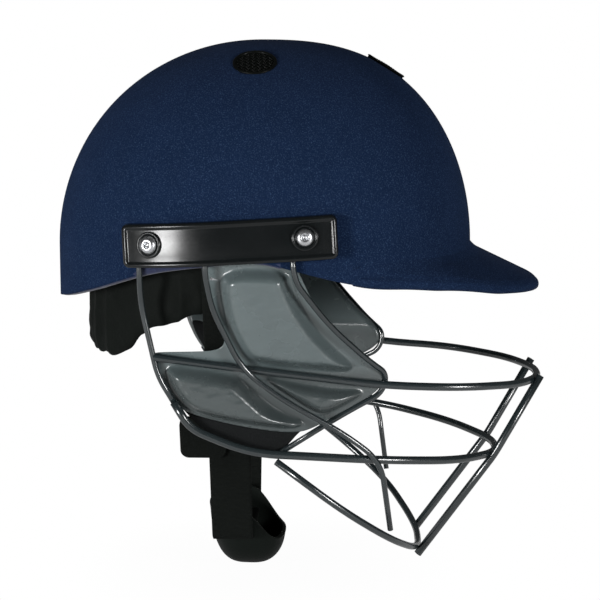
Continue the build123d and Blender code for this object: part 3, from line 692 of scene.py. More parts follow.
def moulded_plastic():
    """Black plastic of the shell."""
    finish = Finish("shell_plastic", base_color=(0.014, 0.014, 0.015))
    return finish.rough(finish.noise(60.0) * 0.2 + 0.4).bump(finish.noise(700.0), 0.08, 0.4)


def cell_foam():
    """Foam with small cells."""
    finish = Finish("cell_foam", roughness=0.9)
    cells = finish.cells(520.0)
    return finish.colour(cells, (0.018, 0.018, 0.020), (0.045, 0.045, 0.048)).bump(cells, 0.3, 0.5)


def bright_zinc():
    """Plated steel, a little uneven."""
    finish = Finish("bright_zinc", metallic=1.0)
    patch = finish.noise(500.0)
    return finish.colour(patch, (0.52, 0.53, 0.55), (0.72, 0.73, 0.75)).rough(patch * 0.2 + 0.18)


coat_finish = satin_coat()
plastic_finish = moulded_plastic()
foam_finish = cell_foam()
zinc_finish = bright_zinc()


def kept(finish, *names):
    """Give kept solids a finish."""
    for name in names:
        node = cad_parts[name]
        node.data.materials.clear()
        node.data.materials.append(finish.material)


sides = {"left": 1, "right": -1}
paired = ("rear_wire", "middle_wire", "front_wire", "bar", "bracket")
wires = ["guard_lower_ring", "guard_upper_ring", "guard_chin_wire"]
wires += ["guard_%s_%s" % (part, side) for part in paired for side in sides]
sharp_angle = radians(35)


def round_wire(name):
    """Copy of a solid wire with its points merged, so that it shades as one round rod with sharp ends."""
    piece = cleaned(name + "_rod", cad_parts[name].data.copy())
    piece.data.set_sharp_from_angle(angle=sharp_angle)
    dressed(piece, coat_finish, [name])


for name in wires:
    round_wire(name)
kept(foam_finish, "foam_liner")
kept(zinc_finish, "tee_nuts", "hanger_rivets", "strap_hanger_left", "strap_hanger_right", "strap_pivots")
print("wires:", len(wires))

# %% [markdown]
# The solid shell is a straight-sided oval up to its crown, so near the top it
# would show through the rounder cloth. The shell shown is a copy of it whose
# points are brought down to lie under the cloth there.

# %% Shell under the cloth
shell_under = 1.35 * mm
lowered_from = equator + 30 * mm


def lowered_shell():
    """Copy of the solid shell: each point above a level is no higher than the cloth over it, less a gap."""
    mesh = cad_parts["outer_shell"].data.copy()
    points = np.empty(3 * len(mesh.vertices))
    mesh.vertices.foreach_get("co", points)
    points = points.reshape(-1, 3)
    high = points[:, 2] > lowered_from
    roof = cover_height(points[high, 0], points[high, 1]) - shell_under
    points[high, 2] = np.minimum(points[high, 2], roof)
    mesh.vertices.foreach_set("co", points.ravel())
    return cleaned("shell_form", mesh)


dressed(lowered_shell(), plastic_finish, ["outer_shell"])

# %% [markdown]
# ## Rim binding
# A tape of the same cloth is folded over the cut edge of the shell from ear to
# ear round the back. It is a rounded U carried along the rim line.

# %% Rim binding
tape_past_middle = 0.055
tape_steps = 220
tape_corner = 9
# Inset and height in millimetres.
tape_section = ((-0.5, 3.3), (-0.8, 2.6), (-0.9, 1.2), (-0.8, -0.2), (-0.2, -0.9), (1.2, -1.2),
                (3.4, -1.2), (4.9, -0.8), (5.4, 0.2), (5.5, 1.6), (5.4, 3.2), (4.9, 3.3), (4.85, 2.0),
                (4.7, 0.1), (0.1, 0.1), (-0.1, 2.0), (-0.1, 3.4))


def oval_outline(heading, radius, corner):
    """Straight-sided oval in plan: a circle whose two halves are moved apart, at a rate set by corner."""
    c, s = np.cos(heading), np.sin(heading)
    shift = middle_half * np.tanh(corner * c) / np.tanh(corner)
    return shift + radius * c - dome_setback, radius * s


def rim_tape():
    """U of tape: each point of its section has an inset and a height, carried round the rim."""
    reach = pi / 2 - tape_past_middle
    heading = np.linspace(reach, 2 * pi - reach, tape_steps)
    level = rim_level(oval_outline(heading, dome_width / 2, tape_corner)[0])
    rows = []
    for inset, rise in tape_section:
        x, y = oval_outline(heading, dome_width / 2 - inset * mm, tape_corner)
        rows.append(stacked(x, y, level + rise * mm))
    return np.stack(rows, 1)


def hem_tape():
    """Navy tape with a pale fleck."""
    finish = Finish("hem_tape", roughness=0.95, sheen_weight=0.2)
    fleck = finish.noise(1400.0, 2.0, 0.7)
    finish.colour(((fleck - 0.5) * 4.0).clamped(), (0.008, 0.012, 0.040), (0.03, 0.045, 0.11))
    return finish.bump(fleck, 0.2, 0.6)


binding = surface("edge_tape", rim_tape(), lengths=(0.02, 0.5))
dressed(binding, hem_tape(), ["rim_binding"])

# %% [markdown]
# ## Side plates
# A gloss black cover lies over the guard's bracket on each side. Its face is
# sunk inside a raised border. The plate is a set of rounded oblong loops, each
# with its own height over the curved wall of the shell, and it is left bare.

# %% Side wall and plates
plate_length, plate_height = 117.0 * mm, 23.5 * mm
plate_corner = 3.4 * mm
plate_tilt = radians(3.4)
plate_centre = np.array((-15.5 * mm, equator + 10.4 * mm))
screw_pitch = 81.0 * mm
plate_wall = 1.6 * mm
least_corner, most_corner = 0.25 * mm, 0.98
long_steps, short_steps, corner_steps = 90, 16, 10
# Inset of each loop and its height over the wall, in millimetres.
plate_face, sunk_face = 7.3, 6.5
plate_loops = ((0.25, 0.6), (0.0, 1.2), (0.0, plate_face - 1.3), (0.25, plate_face - 0.5),
               (0.8, plate_face - 0.05), (1.5, plate_face + 0.05), (2.2, plate_face - 0.1),
               (2.7, plate_face - 0.5), (3.0, sunk_face + 0.05), (3.6, sunk_face), (6.0, sunk_face),
               (8.5, sunk_face), (11.0, sunk_face), (plate_height / mm / 2, sunk_face))


def dome_reach(level, out):
    """Half width of the solid dome at a height over its widest level, moved out by a distance."""
    share = np.clip(level / (dome_rise + out), 0, 0.999)
    return (dome_width / 2 + out) * (1 - share**dome_fullness) ** (1 / dome_fullness)


def side_wall(x, z, out):
    """Place on the solid's side wall at x and z, moved out by a distance, on the wearer's left."""
    along = np.maximum(np.abs(x + dome_setback) - middle_half, 0)
    return stacked(x, np.sqrt(dome_reach(z - equator, out) ** 2 - along**2), z)


def oblong(inset):
    """Loop of an oblong with rounded corners: points spaced along its sides and corners."""
    half = np.array((plate_length, plate_height)) / 2 - inset
    corner = min(max(plate_corner - inset, least_corner), half[1] * most_corner)
    flat = half - corner
    long, short = np.linspace(-1, 1, long_steps), np.linspace(-1, 1, short_steps)
    bend = np.linspace(0, pi / 2, corner_steps + 2)[1:-1]
    half_loop = np.concatenate([
        stacked(long * flat[0], np.full_like(long, -half[1])),
        stacked(flat[0] + corner * np.sin(bend), -flat[1] - corner * np.cos(bend)),
        stacked(np.full_like(short, half[0]), short * flat[1]),
        stacked(flat[0] + corner * np.cos(bend), flat[1] + corner * np.sin(bend))])
    return np.concatenate((half_loop, -half_loop))


def plate_points(side):
    """Loops of the plate from its skirt to its middle, each at its own height over the wall."""
    turned = np.array(((cos(plate_tilt), -sin(plate_tilt)), (sin(plate_tilt), cos(plate_tilt))))
    rows = []
    for inset, height in plate_loops:
        flat = oblong(inset * mm) @ turned.T + plate_centre
        rows.append(side_wall(flat[:, 0], flat[:, 1], height * mm) * (1, side, 1))
    return np.stack(rows)


def gloss_black():
    """Gloss black with faint smears and scratches."""
    finish = Finish("gloss_black_plate", base_color=(0.004, 0.0052, 0.0056), specular_ior_level=0.35)
    smear = finish.noise(45.0, 4.0, 0.6)
    return finish.rough(smear * 0.16 + finish.noise(800.0, 2.0) * 0.06 + 0.12).bump(smear, 0.1, 0.12)


plate_finish = gloss_black()
for name, side in sides.items():
    plate = surface("plate_" + name, plate_points(side), lengths=(0.28, 0.02))
    thickened(plate, plate_wall)
    dressed(plate, plate_finish, ["side_plate_" + name])

# %% [markdown]
# ## Screws and cup washers
# A button head screw sits in a dished washer at each end of a plate. Both are
# turned profiles. The socket is a hexagon, so the loops inside it follow a
# radius that changes with the angle.

# %% Turned parts
turn_steps = 72
wall_step = 1.0 * mm
# Radius and height in millimetres. The screw's socket is hexagonal in three of its rows.
seat = plate_face - 1.1
washer_profile = ((2.7, seat - 0.4), (7.0, seat - 0.4), (7.25, seat), (7.25, seat + 0.9),
                  (7.0, seat + 1.5), (6.5, seat + 1.8), (6.0, seat + 1.75), (5.6, seat + 1.35),
                  (5.2, seat + 0.9), (4.9, seat + 0.8), (2.7, seat + 0.8), (2.7, seat - 0.4))
head = seat + 0.85
screw_profile = ((0.0, -4.6), (2.5, -4.6), (2.5, head), (4.55, head), (4.75, head + 0.35),
                 (4.6, head + 1.1), (4.15, head + 1.9), (3.4, head + 2.5), (2.5, head + 2.75),
                 (1.95, head + 2.72), (1.55, head + 2.4), (1.5, head + 2.0), (1.5, head + 1.2),
                 (0.0, head + 1.0))
socket_rows = (10, 11, 12)


def turned_part(profile, origin, axis, hexagon_rows=()):
    """Profile of radius and height turned about an axis. In the rows named as hexagons
    the radius is the flat's distance divided by the cosine of the angle from the flat."""
    angle = circle(turn_steps)
    folded = (angle + pi / 6) % (pi / 3) - pi / 6
    up = Vector(axis).normalized()
    side = up.orthogonal().normalized()
    other = up.cross(side)
    rows = []
    for place, (radius, height) in enumerate(profile):
        ring = radius * mm / (np.cos(folded) if place in hexagon_rows else np.ones_like(angle))
        rows.append(np.array(origin) + np.outer(ring * np.cos(angle), side)
                    + np.outer(ring * np.sin(angle), other) + height * mm * np.array(up))
    return np.stack(rows)


def screw_planes(side):
    """Centres and outward directions of the two screws of one side, on the cloth's level."""
    found = []
    for end in (-1, 1):
        x = plate_centre[0] + end * cos(plate_tilt) * screw_pitch / 2
        z = plate_centre[1] + end * sin(plate_tilt) * screw_pitch / 2
        across = side_wall(x + wall_step, z, 0.0) - side_wall(x - wall_step, z, 0.0)
        up = side_wall(x, z + wall_step, 0.0) - side_wall(x, z - wall_step, 0.0)
        normal = np.cross(up, across)
        normal *= np.sign(normal[1]) / np.linalg.norm(normal)
        found.append((side_wall(x, z, 0.0) * (1, side, 1), normal * (1, side, 1)))
    return found


planes = [plane for side in sides.values() for plane in screw_planes(side)]
washers = [surface("washer", turned_part(washer_profile, *plane)) for plane in planes]
screws = [surface("screw", turned_part(screw_profile, *plane, socket_rows)) for plane in planes]
dressed(joined("washers", washers), gloss_black(), ["cup_washers"])
dressed(joined("screws", screws), zinc_finish, ["guard_screws"])

# %% [markdown]
# ## Vents
# Each vent is a ring with a woven mesh behind it. The mesh is two sets of
# short wires that pass over and under each other: every wire is a sine wave
# along a chord of the ring, and its neighbour's wave is shifted by half.

# %% Vent grilles
ring_profile = ((11.9, -4.0), (12.0, 0.1), (12.5, 0.2), (12.5, 0.6), (12.1, 1.0), (11.5, 1.1),
                (11.0, 0.9), (10.7, 0.3), (10.6, -4.0))
ring_wall = 0.5 * mm
mesh_reach = 10.9 * mm
mesh_pitch = 2.3 * mm
mesh_wire = 0.55 * mm
mesh_numbers = range(-4, 5)
mesh_swing = 0.8 * mesh_wire
mesh_dish, mesh_sink = 0.8 * mm, 0.2 * mm
wire_steps, wire_sides = 33, 6


def mesh_wires(centre, normal):
    """Grids of all wires of one vent: a chord with a sine wave, and a six-sided section."""
    side = normal.orthogonal().normalized()
    if abs(side.x) < 0.5:
        side = normal.cross(side).normalized()
    other = normal.cross(side)
    ring = circle(wire_sides)
    grids = []
    for along, across, shift in ((side, other, 0.0), (other, side, pi)):
        section = mesh_wire * (np.outer(np.cos(ring), across) + np.outer(np.sin(ring), normal))
        for number in mesh_numbers:
            offset = number * mesh_pitch
            half = sqrt(mesh_reach**2 - offset**2)
            run = np.linspace(-half, half, wire_steps)
            wave = np.sin(run / mesh_pitch * pi + pi / 2 + number * pi + shift) * mesh_swing
            dish = (1 - (run**2 + offset**2) / mesh_reach**2) * mesh_dish
            middle = (np.array(centre) + np.outer(run, along) + offset * np.array(across)
                      + np.outer(wave + dish - mesh_sink, normal))
            ends = np.repeat(middle[[0, -1]][:, None], wire_sides, 1)
            grids.append(np.concatenate((ends[:1], middle[:, None] + section, ends[1:])))
    return grids


def vent_plastic():
    """Dull black plastic."""
    finish = Finish("vent_plastic", base_color=(0.0035, 0.0042, 0.0038), specular_ior_level=0.06)
    return finish.rough(finish.noise(300.0) * 0.25 + 0.22).bump(finish.noise(900.0), 0.05, 0.4)


vent_finish = vent_plastic()
for name, (centre, normal) in vents.items():
    parts = [surface("ring", turned_part(ring_profile, centre, normal))]
    thickened(parts[0], ring_wall)
    parts += [surface("wire", grid) for grid in mesh_wires(centre, normal)]
    dressed(joined("grille_" + name, parts), vent_finish, ["vent_grille_" + name])

# %% [markdown]
# ## Ear pads
# The guard's wires frame a moulded foam pad on each side. Its skin is thin
# under the wires and swells into three crowned lobes between them. The pad is
# a height field over its side view: a square grid is cut along a closed
# outline, its outer points are drawn onto the outline, and front and back
# meet there. Distances to the outlines of the lobes give the height of the
# swell. A black lining behind the skin reaches down to the lower ring.

# %% Ear pad outlines
# Corners in millimetres, along and up, in the side view.
skin_outline = ((-27.5, -99.3), (-4, -99), (20.3, -99.3), (23.5, -108), (30.2, -123), (39.2, -135),
                (51.5, -148), (62.2, -157), (66.8, -162), (68.6, -167), (67.5, -171.8), (61, -177.5),
                (44.5, -186), (28.5, -194.6), (20, -196.5), (8, -195.5), (-10, -192.5), (-26, -188.6),
                (-40, -184.5), (-47.4, -179.5), (-53.5, -170), (-56.2, -163), (-57.6, -156), (-58.6, -151),
                (-56, -150), (-40, -149.6), (-27, -149.2), (-21, -147.5), (-18.6, -143), (-21.3, -136),
                (-23.4, -129), (-25.2, -121), (-26.8, -114), (-27.6, -107))
lining_outline = ((-55.5, -158), (-53.5, -166), (-48, -176.5), (-38.5, -188), (-28.5, -197), (-14, -203),
                  (-1, -206.8), (11, -207.6), (16, -203), (21, -197), (28, -192), (20, -182), (-10, -176),
                  (-40, -162))
upper_lobe = ((-21.0, -102), (16, -102), (18.5, -113), (26, -129), (36, -143), (47, -154), (51.5, -159),
              (51, -161.8), (46, -163), (24, -160.5), (4, -157.5), (-6, -155), (-11, -148), (-16, -136),
              (-19.5, -121))
rear_lobe = ((-52.5, -156.5), (-30, -160.0), (-14, -163.5), (-6, -170), (4, -180), (15, -187), (25, -191),
             (21, -194.0), (10, -194.0), (-10, -191), (-26, -187.5), (-38, -183.5), (-45, -176.5),
             (-50.5, -167))
front_lobe = ((-1, -163.5), (20, -168.5), (40, -172.5), (57, -173.5), (56, -177), (46, -182.5), (38, -186),
              (31, -186), (16, -176))
# Outline, height and width of the shoulder of each lobe.
lobes = ((upper_lobe, 9.0 * mm, 7.0 * mm), (rear_lobe, 8.4 * mm, 6.6 * mm),
         (front_lobe, 6.4 * mm, 5.4 * mm))
cheek_stations = np.array((-70.0, 0.0, 75.0)) * mm
cheek_levels = np.array((-90.0, -128.0, -160.0, -215.0)) * mm
cheek_widths = np.array(((90.5, 106.3, 86.0), (90.5, 96.5, 77.0),
                         (89.0, 85.5, 69.5), (88.5, 86.5, 73.5))) * mm
corner_rounds = 2


def cut_corners(outline):
    """Rounder outline: each side keeps its middle half, twice over."""
    corners = np.array(outline) * mm
    for turn in range(corner_rounds):
        after = np.roll(corners, -1, 0)
        corners = np.stack((corners * 0.75 + after * 0.25, corners * 0.25 + after * 0.75), 1).reshape(-1, 2)
    return corners


def cheek_width(x, z):
    """Half width of the pad's skin: a parabola through three stations, straight between levels."""
    a, b, c = cheek_stations
    weights = stacked((x - b) * (x - c) / ((a - b) * (a - c)), (x - a) * (x - c) / ((b - a) * (b - c)),
                        (x - a) * (x - b) / ((c - a) * (c - b)))
    rows = weights @ cheek_widths.T
    width = rows[..., 0]
    for k, (upper, lower) in enumerate(zip(cheek_levels, cheek_levels[1:])):
        width = width + (rows[..., k + 1] - rows[..., k]) * np.clip((upper - z) / (upper - lower), 0, 1)
    return width


def outline_distance(x, z, corners):
    """Distance from places to a closed outline, positive inside it, and the nearest point on it. Each
    side's nearest point is a clamped share along it. A place is inside where a level line from it crosses
    an odd number of sides."""
    best = np.full(x.shape, 1.0)
    nearest = np.zeros(x.shape + (2,))
    inside = np.zeros(x.shape, bool)
    for (ax, az), (bx, bz) in zip(corners, np.roll(corners, -1, 0)):
        run, rise = bx - ax, bz - az
        t = np.clip(((x - ax) * run + (z - az) * rise) / (run**2 + rise**2), 0, 1)
        there = stacked(ax + t * run, az + t * rise)
        away = np.hypot(x - there[..., 0], z - there[..., 1])
        nearest = np.where((away < best)[..., None], there, nearest)
        best = np.minimum(best, away)
        crossed = (az > z) != (bz > z)
        inside ^= crossed & (x < ax + (z - az) * run / (rise + tiny))
    return np.where(inside, best, -best), nearest


print("skin outline:", len(skin_outline), "corners")

# %% Ear pad form
pad_step = 0.8 * mm
pad_snap = 0.3
edge_round = 3.0 * mm
pad_sink, pad_thickness = 2.6 * mm, 3.4 * mm
lining_sink, lining_thickness = 4.4 * mm, 3.0 * mm
crown_curve, crown_slope, crown_reach = 1.25, 0.03, 14 * mm
dimple_length, dimple_height, dimple_seed = 9 * mm, 0.10 * mm, 11
dimple_squash, dimple_full = 2.2, 4 * mm
soft_rounds = 2
# Painted shade: below this level the pad's colour is darkened, and it fades to the lighter tone over the
# second distance.
painted_shade_level, painted_shade_fade = -166.0 * mm, 10.0 * mm


def pad_height(x, z):
    """Height of the lobes over the skin: a steep shoulder that levels off into a crown."""
    height = np.zeros_like(x)
    for outline, crown, shoulder in lobes:
        inside = outline_distance(x, z, cut_corners(outline))[0]
        steep = crown * np.sin(np.clip(inside / shoulder, 0, 1) * pi / 2) ** crown_curve
        height = np.maximum(height, steep + np.clip(inside, 0, crown_reach) * crown_slope)
    return height


def soften(field):
    """Mean of each value and its neighbours, twice over."""
    for turn in range(soft_rounds):
        p = np.pad(field, 1, mode="edge")
        field = (p[:-2, 1:-1] + p[2:, 1:-1] + p[1:-1, :-2] + p[1:-1, 2:] + 4 * p[1:-1, 1:-1]) / 8
    return field


def cut_sheet(name, outline, sink, thickness, lobed, side):
    """Padded sheet over a square grid: faces with a corner inside the outline stay, and their outer
    corners lie on the outline, where the two skins meet."""
    corners = cut_corners(outline)
    low, high = corners.min(0) - pad_step, corners.max(0) + pad_step
    x, z = np.meshgrid(*(np.arange(a, b, pad_step) for a, b in zip(low, high)), indexing="ij")
    away, nearest = outline_distance(x, z, corners)
    swell = soften(pad_height(x, z)) if lobed else np.zeros_like(x)
    dimples = ripples(stacked(x, 0 * x, z * dimple_squash), dimple_length, dimple_seed)
    swell += dimples * dimple_height * np.clip(swell / dimple_full, 0, 1)
    close = away < pad_step * pad_snap
    x, z = np.where(close, nearest[..., 0], x), np.where(close, nearest[..., 1], z)
    rounded = np.sqrt(1 - (1 - np.clip(np.where(close, 0, away) / edge_round, 0, 1)) ** 2)
    front = cheek_width(x, z) - sink + swell * rounded
    back = cheek_width(x, z) - sink - thickness * rounded
    count = x.size
    rows = np.concatenate([stacked(x, level * side, z).reshape(-1, 3) for level in (front, back)])
    number = np.arange(count).reshape(x.shape)
    faces = stacked(number[:-1, :-1], number[1:, :-1], number[1:, 1:], number[:-1, 1:])
    faces = faces.reshape(-1, 4)
    faces = faces[(~close.ravel()[faces]).any(1)]
    mesh = bpy.data.meshes.new(name)
    mesh.from_pydata(rows.tolist(), [], np.concatenate((faces, faces[:, ::-1] + count)).tolist())
    work = bmesh.new()
    work.from_mesh(mesh)
    bmesh.ops.delete(work, geom=[v for v in work.verts if not v.link_faces], context="VERTS")
    work.to_mesh(mesh)
    work.free()
    return cleaned(name, mesh)


def satin_foam():
    """Moulded grey foam with a satin skin, with painted shade that darkens the lower lobes."""
    finish = Finish("satin_moulded_foam", specular_ior_level=0.9)
    patch = finish.noise(35.0, 4.0, 0.6)
    level = finish.node("SeparateXYZ", output=2, vector=finish.place)
    # Painted shade: a darker copy of the foam's colour is used low on the pad and a lighter copy higher up.
    dark = finish.mix(patch, (0.036, 0.046, 0.047), (0.058, 0.072, 0.073))
    light = finish.mix(patch, (0.066, 0.086, 0.089), (0.108, 0.136, 0.139))
    finish.colour(((level - painted_shade_level) / painted_shade_fade).clamped(), dark, light)
    return finish.rough(patch * 0.14 + 0.20).bump(finish.noise(420.0, 3.0, 0.6) + patch * 2.0, 0.12, 0.5)


def lining_cloth():
    """Black brushed cloth."""
    finish = Finish("pad_lining", roughness=0.95, specular_ior_level=0.1)
    fuzz = finish.noise(1100.0)
    return finish.colour(fuzz, (0.004, 0.0045, 0.0048), (0.012, 0.013, 0.0135)).bump(fuzz, 0.2, 0.6)


pad_finish, lining_finish = satin_foam(), lining_cloth()
for name, side in sides.items():
    pad = cut_sheet("ear_cushion_" + name, skin_outline, pad_sink, pad_thickness, True, side)
    dressed(pad, pad_finish, ["ear_pad_" + name])
    lining = cut_sheet("ear_lining_" + name, lining_outline, lining_sink, lining_thickness, False, side)
    dressed(lining, lining_finish)

# %% [markdown]
# ## Linings
# Soft pads line the shell: one at the crown, one across the brow, one above
# each ear and a long one round the nape. Each is a pillow: a section that is
# rounded like a cushion, carried along the inside of the dome, and drawn in
# at its ends and at sewn channels.

# %% Pillow tool
lining_out = 15.6 * mm
oval_corner = 6
end_square, channel_depth, channel_width = 14, 0.5, 0.012
section_square, section_depth = 0.7, 0.8


def inner_wall(heading, level, inset):
    """Inside of the solid dome at a heading and a height, inset from the cloth."""
    x, y = oval_outline(heading, dome_reach(level - equator, -inset), oval_corner)
    return stacked(x, y, level)


def signed_power(value, power):
    """Power of a value that keeps its sign."""
    return np.sign(value) * np.abs(value) ** power


def pillow(headings, top, bottom, thickness, channels=(), ring=40):
    """Cushion along the inside of the dome. For each heading its section is a superellipse between
    the top and bottom levels, as deep as the thickness less the draw of the nearest channel."""
    angle = circle(ring)[None, :]
    along = np.linspace(0, 1, len(headings))[:, None]
    ends = np.sqrt(np.clip(1 - np.abs(2 * along - 1) ** end_square, 0, 1))
    plump = np.ones_like(along)
    for place in channels:
        plump = plump - channel_depth * np.exp(-((along - place) / channel_width) ** 2)
    middle, half = np.atleast_1d((top + bottom) / 2, (top - bottom) / 2)
    level = middle[:, None] + half[:, None] * signed_power(np.sin(angle), section_square) * ends
    depth = 0.5 - 0.5 * signed_power(np.cos(angle), section_depth)
    depth = np.where(np.cos(angle) > 0, depth, 0.5 + (depth - 0.5) * plump * ends)
    depth = 0.5 + (depth - 0.5) * ends
    heading = np.repeat(headings[:, None], ring, 1)
    outer = inner_wall(heading, level, lining_out)
    inner = inner_wall(heading, level, lining_out + thickness)
    return outer + (inner - outer) * depth[..., None]


def towelling():
    """Black looped cloth."""
    finish = Finish("black_towelling", roughness=1.0, sheen_weight=0.2, sheen_roughness=0.6,
                    specular_ior_level=0.1)
    loops = finish.cells(900.0)
    return finish.colour(loops, (0.020, 0.020, 0.022), (0.006, 0.006, 0.007)).bump(1.0 - loops, 0.5, 0.8)


def leatherette():
    """Dull black leatherette with fine creases."""
    finish = Finish("black_leatherette", specular_ior_level=0.05)
    crease = finish.noise(70.0, 5.0, 0.65)
    finish.colour(crease, (0.0022, 0.003, 0.0026), (0.007, 0.0085, 0.0075))
    return finish.rough(crease * 0.3 + 0.52).bump(finish.cells(650.0) * 0.25 + crease * 2.0, 0.5, 0.6)


towel_finish = towelling()
print("linings ready")

# %% Brow, temple and crown pads
brow_reach, brow_steps = 0.82, 120
brow_top, brow_bottom, brow_thickness = -72.5 * mm, -112.5 * mm, 8 * mm
brow_channels = (0.25, 0.5, 0.75)
temple_front, temple_back, temple_steps = (82 * mm, 27 * mm), (82 * mm, -46 * mm), 60
temple_top, temple_bottom, temple_thickness = -53.0 * mm, -82.0 * mm, 7 * mm


def temple_headings(side):
    """Headings of a temple pad, from its front end to its back end."""
    front = atan2(temple_front[0], temple_front[1] - middle_half)
    back = atan2(temple_back[0], temple_back[1] + middle_half)
    return np.linspace(front, back, temple_steps) * side


brow_headings = np.linspace(-brow_reach, brow_reach, brow_steps)
brow = pillow(brow_headings, brow_top, brow_bottom, brow_thickness, brow_channels)
brow = surface("brow_cushion", brow)
dressed(brow, towel_finish, ["brow_pad"])
for name, side in sides.items():
    temple = pillow(temple_headings(side), temple_top, temple_bottom, temple_thickness)
    temple = surface("temple_cushion_" + name, temple)
    dressed(temple, towel_finish, ["temple_pad_" + name])

crown_half_length, crown_half_width = 53.5 * mm, 31.0 * mm
crown_thickness = 4.6 * mm
crown_back = 4 * mm
crown_sides, crown_rows = 96, 24
crown_edge, seam_depth, seam_half = 6, 0.35, 2.2 * mm


def crown_points():
    """Oval pillow under the crown: two caps that follow the dome's inside and meet in a round edge."""
    angle = circle(crown_sides)[None, :]
    share = np.linspace(0, 1, crown_rows)
    share = np.concatenate((share, np.linspace(1, 0, crown_rows)))[:, None]
    underside = (np.arange(2 * crown_rows) >= crown_rows)[:, None]
    reach = np.sin(share * pi / 2)
    x = crown_half_length * reach * np.cos(angle) - crown_back
    y = crown_half_width * reach * np.sin(angle)
    along = np.maximum(np.abs(x + dome_setback) - middle_half, 0)
    out = np.clip(np.hypot(along, y) / (dome_width / 2 - lining_out), 0, 0.999)
    top = equator + (dome_rise - lining_out) * (1 - out**dome_fullness) ** (1 / dome_fullness)
    edge = np.sqrt(np.clip(1 - reach**crown_edge, 0, 1))
    sewn = 1 - seam_depth * np.exp(-(y / seam_half) ** 2)
    depth = np.where(underside, 0.5 + 0.5 * edge * sewn, 0.5 - 0.5 * edge)
    return stacked(x, y, top - crown_thickness * depth)


crown = surface("crown_cushion", crown_points())
dressed(crown, towel_finish, ["crown_pad"])

# %% Nape pad
nape_reach, nape_steps, nape_sides = 1.48, 260, 56
nape_thickness = 7.0 * mm
nape_at, nape_in = equator - 20 * mm, lining_out + 3 * mm
nape_over_rim, nape_top = 7 * mm, equator + 0.5 * mm
nape_bottom_places = (-104, -97, -84, -76, -68, -60, -50, -40, -30, -20)
nape_bottom_levels = (-158.5, -158.5, -157.5, -153, -143.5, -138.5, -135.5, -132, -129, -127)
nape_channels = (0.14, 0.30, 0.5, 0.70, 0.86)
fold_length, fold_height, fold_middle, fold_stretch, fold_seed = 26 * mm, 1.1 * mm, 0.55, (1, 1, 0.45), 7
pucker_length, pucker_height, pucker_seed = 9 * mm, 0.15 * mm, 8


def nape_points():
    """Long pillow round the nape. Its lower edge is given by place along the helmet, and
    creases run across it where the leatherette folds."""
    heading = np.linspace(nape_reach, 2 * pi - nape_reach, nape_steps)
    place = inner_wall(heading, np.full(nape_steps, nape_at), nape_in)[:, 0]
    top = np.minimum(rim_level(place) + nape_over_rim, nape_top)
    bottom = smooth_through(nape_bottom_places, nape_bottom_levels, place / mm) * mm
    points = pillow(heading, top, bottom, nape_thickness, nape_channels, ring=nape_sides)
    folds = (fold_middle - np.abs(ripples(points * fold_stretch, fold_length, fold_seed))) * fold_height
    puckers = ripples(points, pucker_length, pucker_seed) * pucker_height
    outward = grid_normals(points, points.mean(1, keepdims=True))
    return points + outward * (folds + puckers)[..., None]


nape = surface("nape_cushion", nape_points(), lengths=(0.1, 0.3))
dressed(nape, leatherette(), ["nape_pad"])

# %% [markdown]
# ## Chin strap
# A ribbed elastic band runs down inside the guard and under the chin. Its ribs
# cross it, so each is a small wave along the band's own length. The band is a
# flat section carried along a route in the front view.

# %% Strap route
strap_x = -19.0 * mm
strap_width = 24.0 * mm
strap_thickness = 1.8 * mm
# Corners of the left half in the front view and the radius of each turn, in millimetres.
strap_corners = [(95.8, -97.0), (95.2, -116.0), (66.0, -188.0), (40.0, -271.0)]
strap_turns = (24.0, 96.0, 9.0)
route_step = 0.25
arc_steps = 24


def rounded_route(corners, turns):
    """Straight runs joined by curves, with points at an even step. Each curve starts and ends a
    tangent length away from its corner."""
    corners = np.array(corners)
    points = [corners[:1]]
    for before, here, after, radius in zip(corners, corners[1:], corners[2:], turns):
        a, b = ((end - here) / np.linalg.norm(end - here) for end in (before, after))
        half = np.arccos(np.clip((a * b).sum(), -1, 1)) / 2
        run = radius / np.tan(half)
        share = np.linspace(0, 1, arc_steps)[:, None]
        start, end = here + a * run, here + b * run
        points.append((1 - share) ** 2 * start + 2 * share * (1 - share) * here + share**2 * end)
    points.append(corners[-1:])
    points = np.concatenate(points)
    length = np.concatenate(([0], np.cumsum(np.linalg.norm(np.diff(points, axis=0), axis=1))))
    even = np.arange(0, length[-1], route_step)
    return np.stack([np.interp(even, length, points[:, k]) for k in (0, 1)], -1), even


right_corners = [(-y, z) for y, z in reversed(strap_corners)]
route, strap_run = rounded_route(strap_corners + right_corners, strap_turns + strap_turns[::-1])
route *= mm
print("strap length:", round(strap_run[-1]), "mm")

# %% Strap and its tab
rib_pitch, rib_slant = 4.2, 2.6
rib_depth, rib_roundness = 0.55 * mm, 0.6
smooth_inside, ribbed_outside = 34 * mm, 40 * mm
band_share = 0.72
thread_pitch = 0.6 * mm
# Shares of the width and the thickness, along the upper face from edge to edge.
band_face = [(-0.96, 0.5), (-0.86, 0.5), (-0.5, 0.5), (-0.17, 0.5), (0.17, 0.5), (0.5, 0.5), (0.86, 0.5),
             (0.96, 0.5)]


def strap_points():
    """Band: across its width a thin rounded section, along its length ribs as a rounded wave."""
    tangent = np.gradient(route, axis=0)
    tangent /= np.linalg.norm(tangent, axis=-1, keepdims=True)
    normal = stacked(tangent[:, 1], -tangent[:, 0])
    underside = [(width, -rise) for width, rise in reversed(band_face)]
    width, rise = np.array([(-1.0, 0.0), *band_face, (1.0, 0.0), *underside]).T[:, None, :]
    y, z = route.T[..., None]
    run = strap_run[:, None] + width * rib_slant * (y < 0)
    rib = np.abs(np.sin(run / rib_pitch * pi)) ** rib_roundness
    rib = rib * ramp(np.abs(y), smooth_inside, ribbed_outside)
    thick = rise * strap_thickness * band_share + np.sign(rise) * rib * rib_depth
    x = strap_x + width * strap_width / 2
    points = stacked(x, y + normal[:, :1] * thick, z + normal[:, 1:] * thick)
    ends = points.mean(1, keepdims=True).repeat(points.shape[1], 1)
    return np.concatenate((ends[:1], points, ends[-1:]))


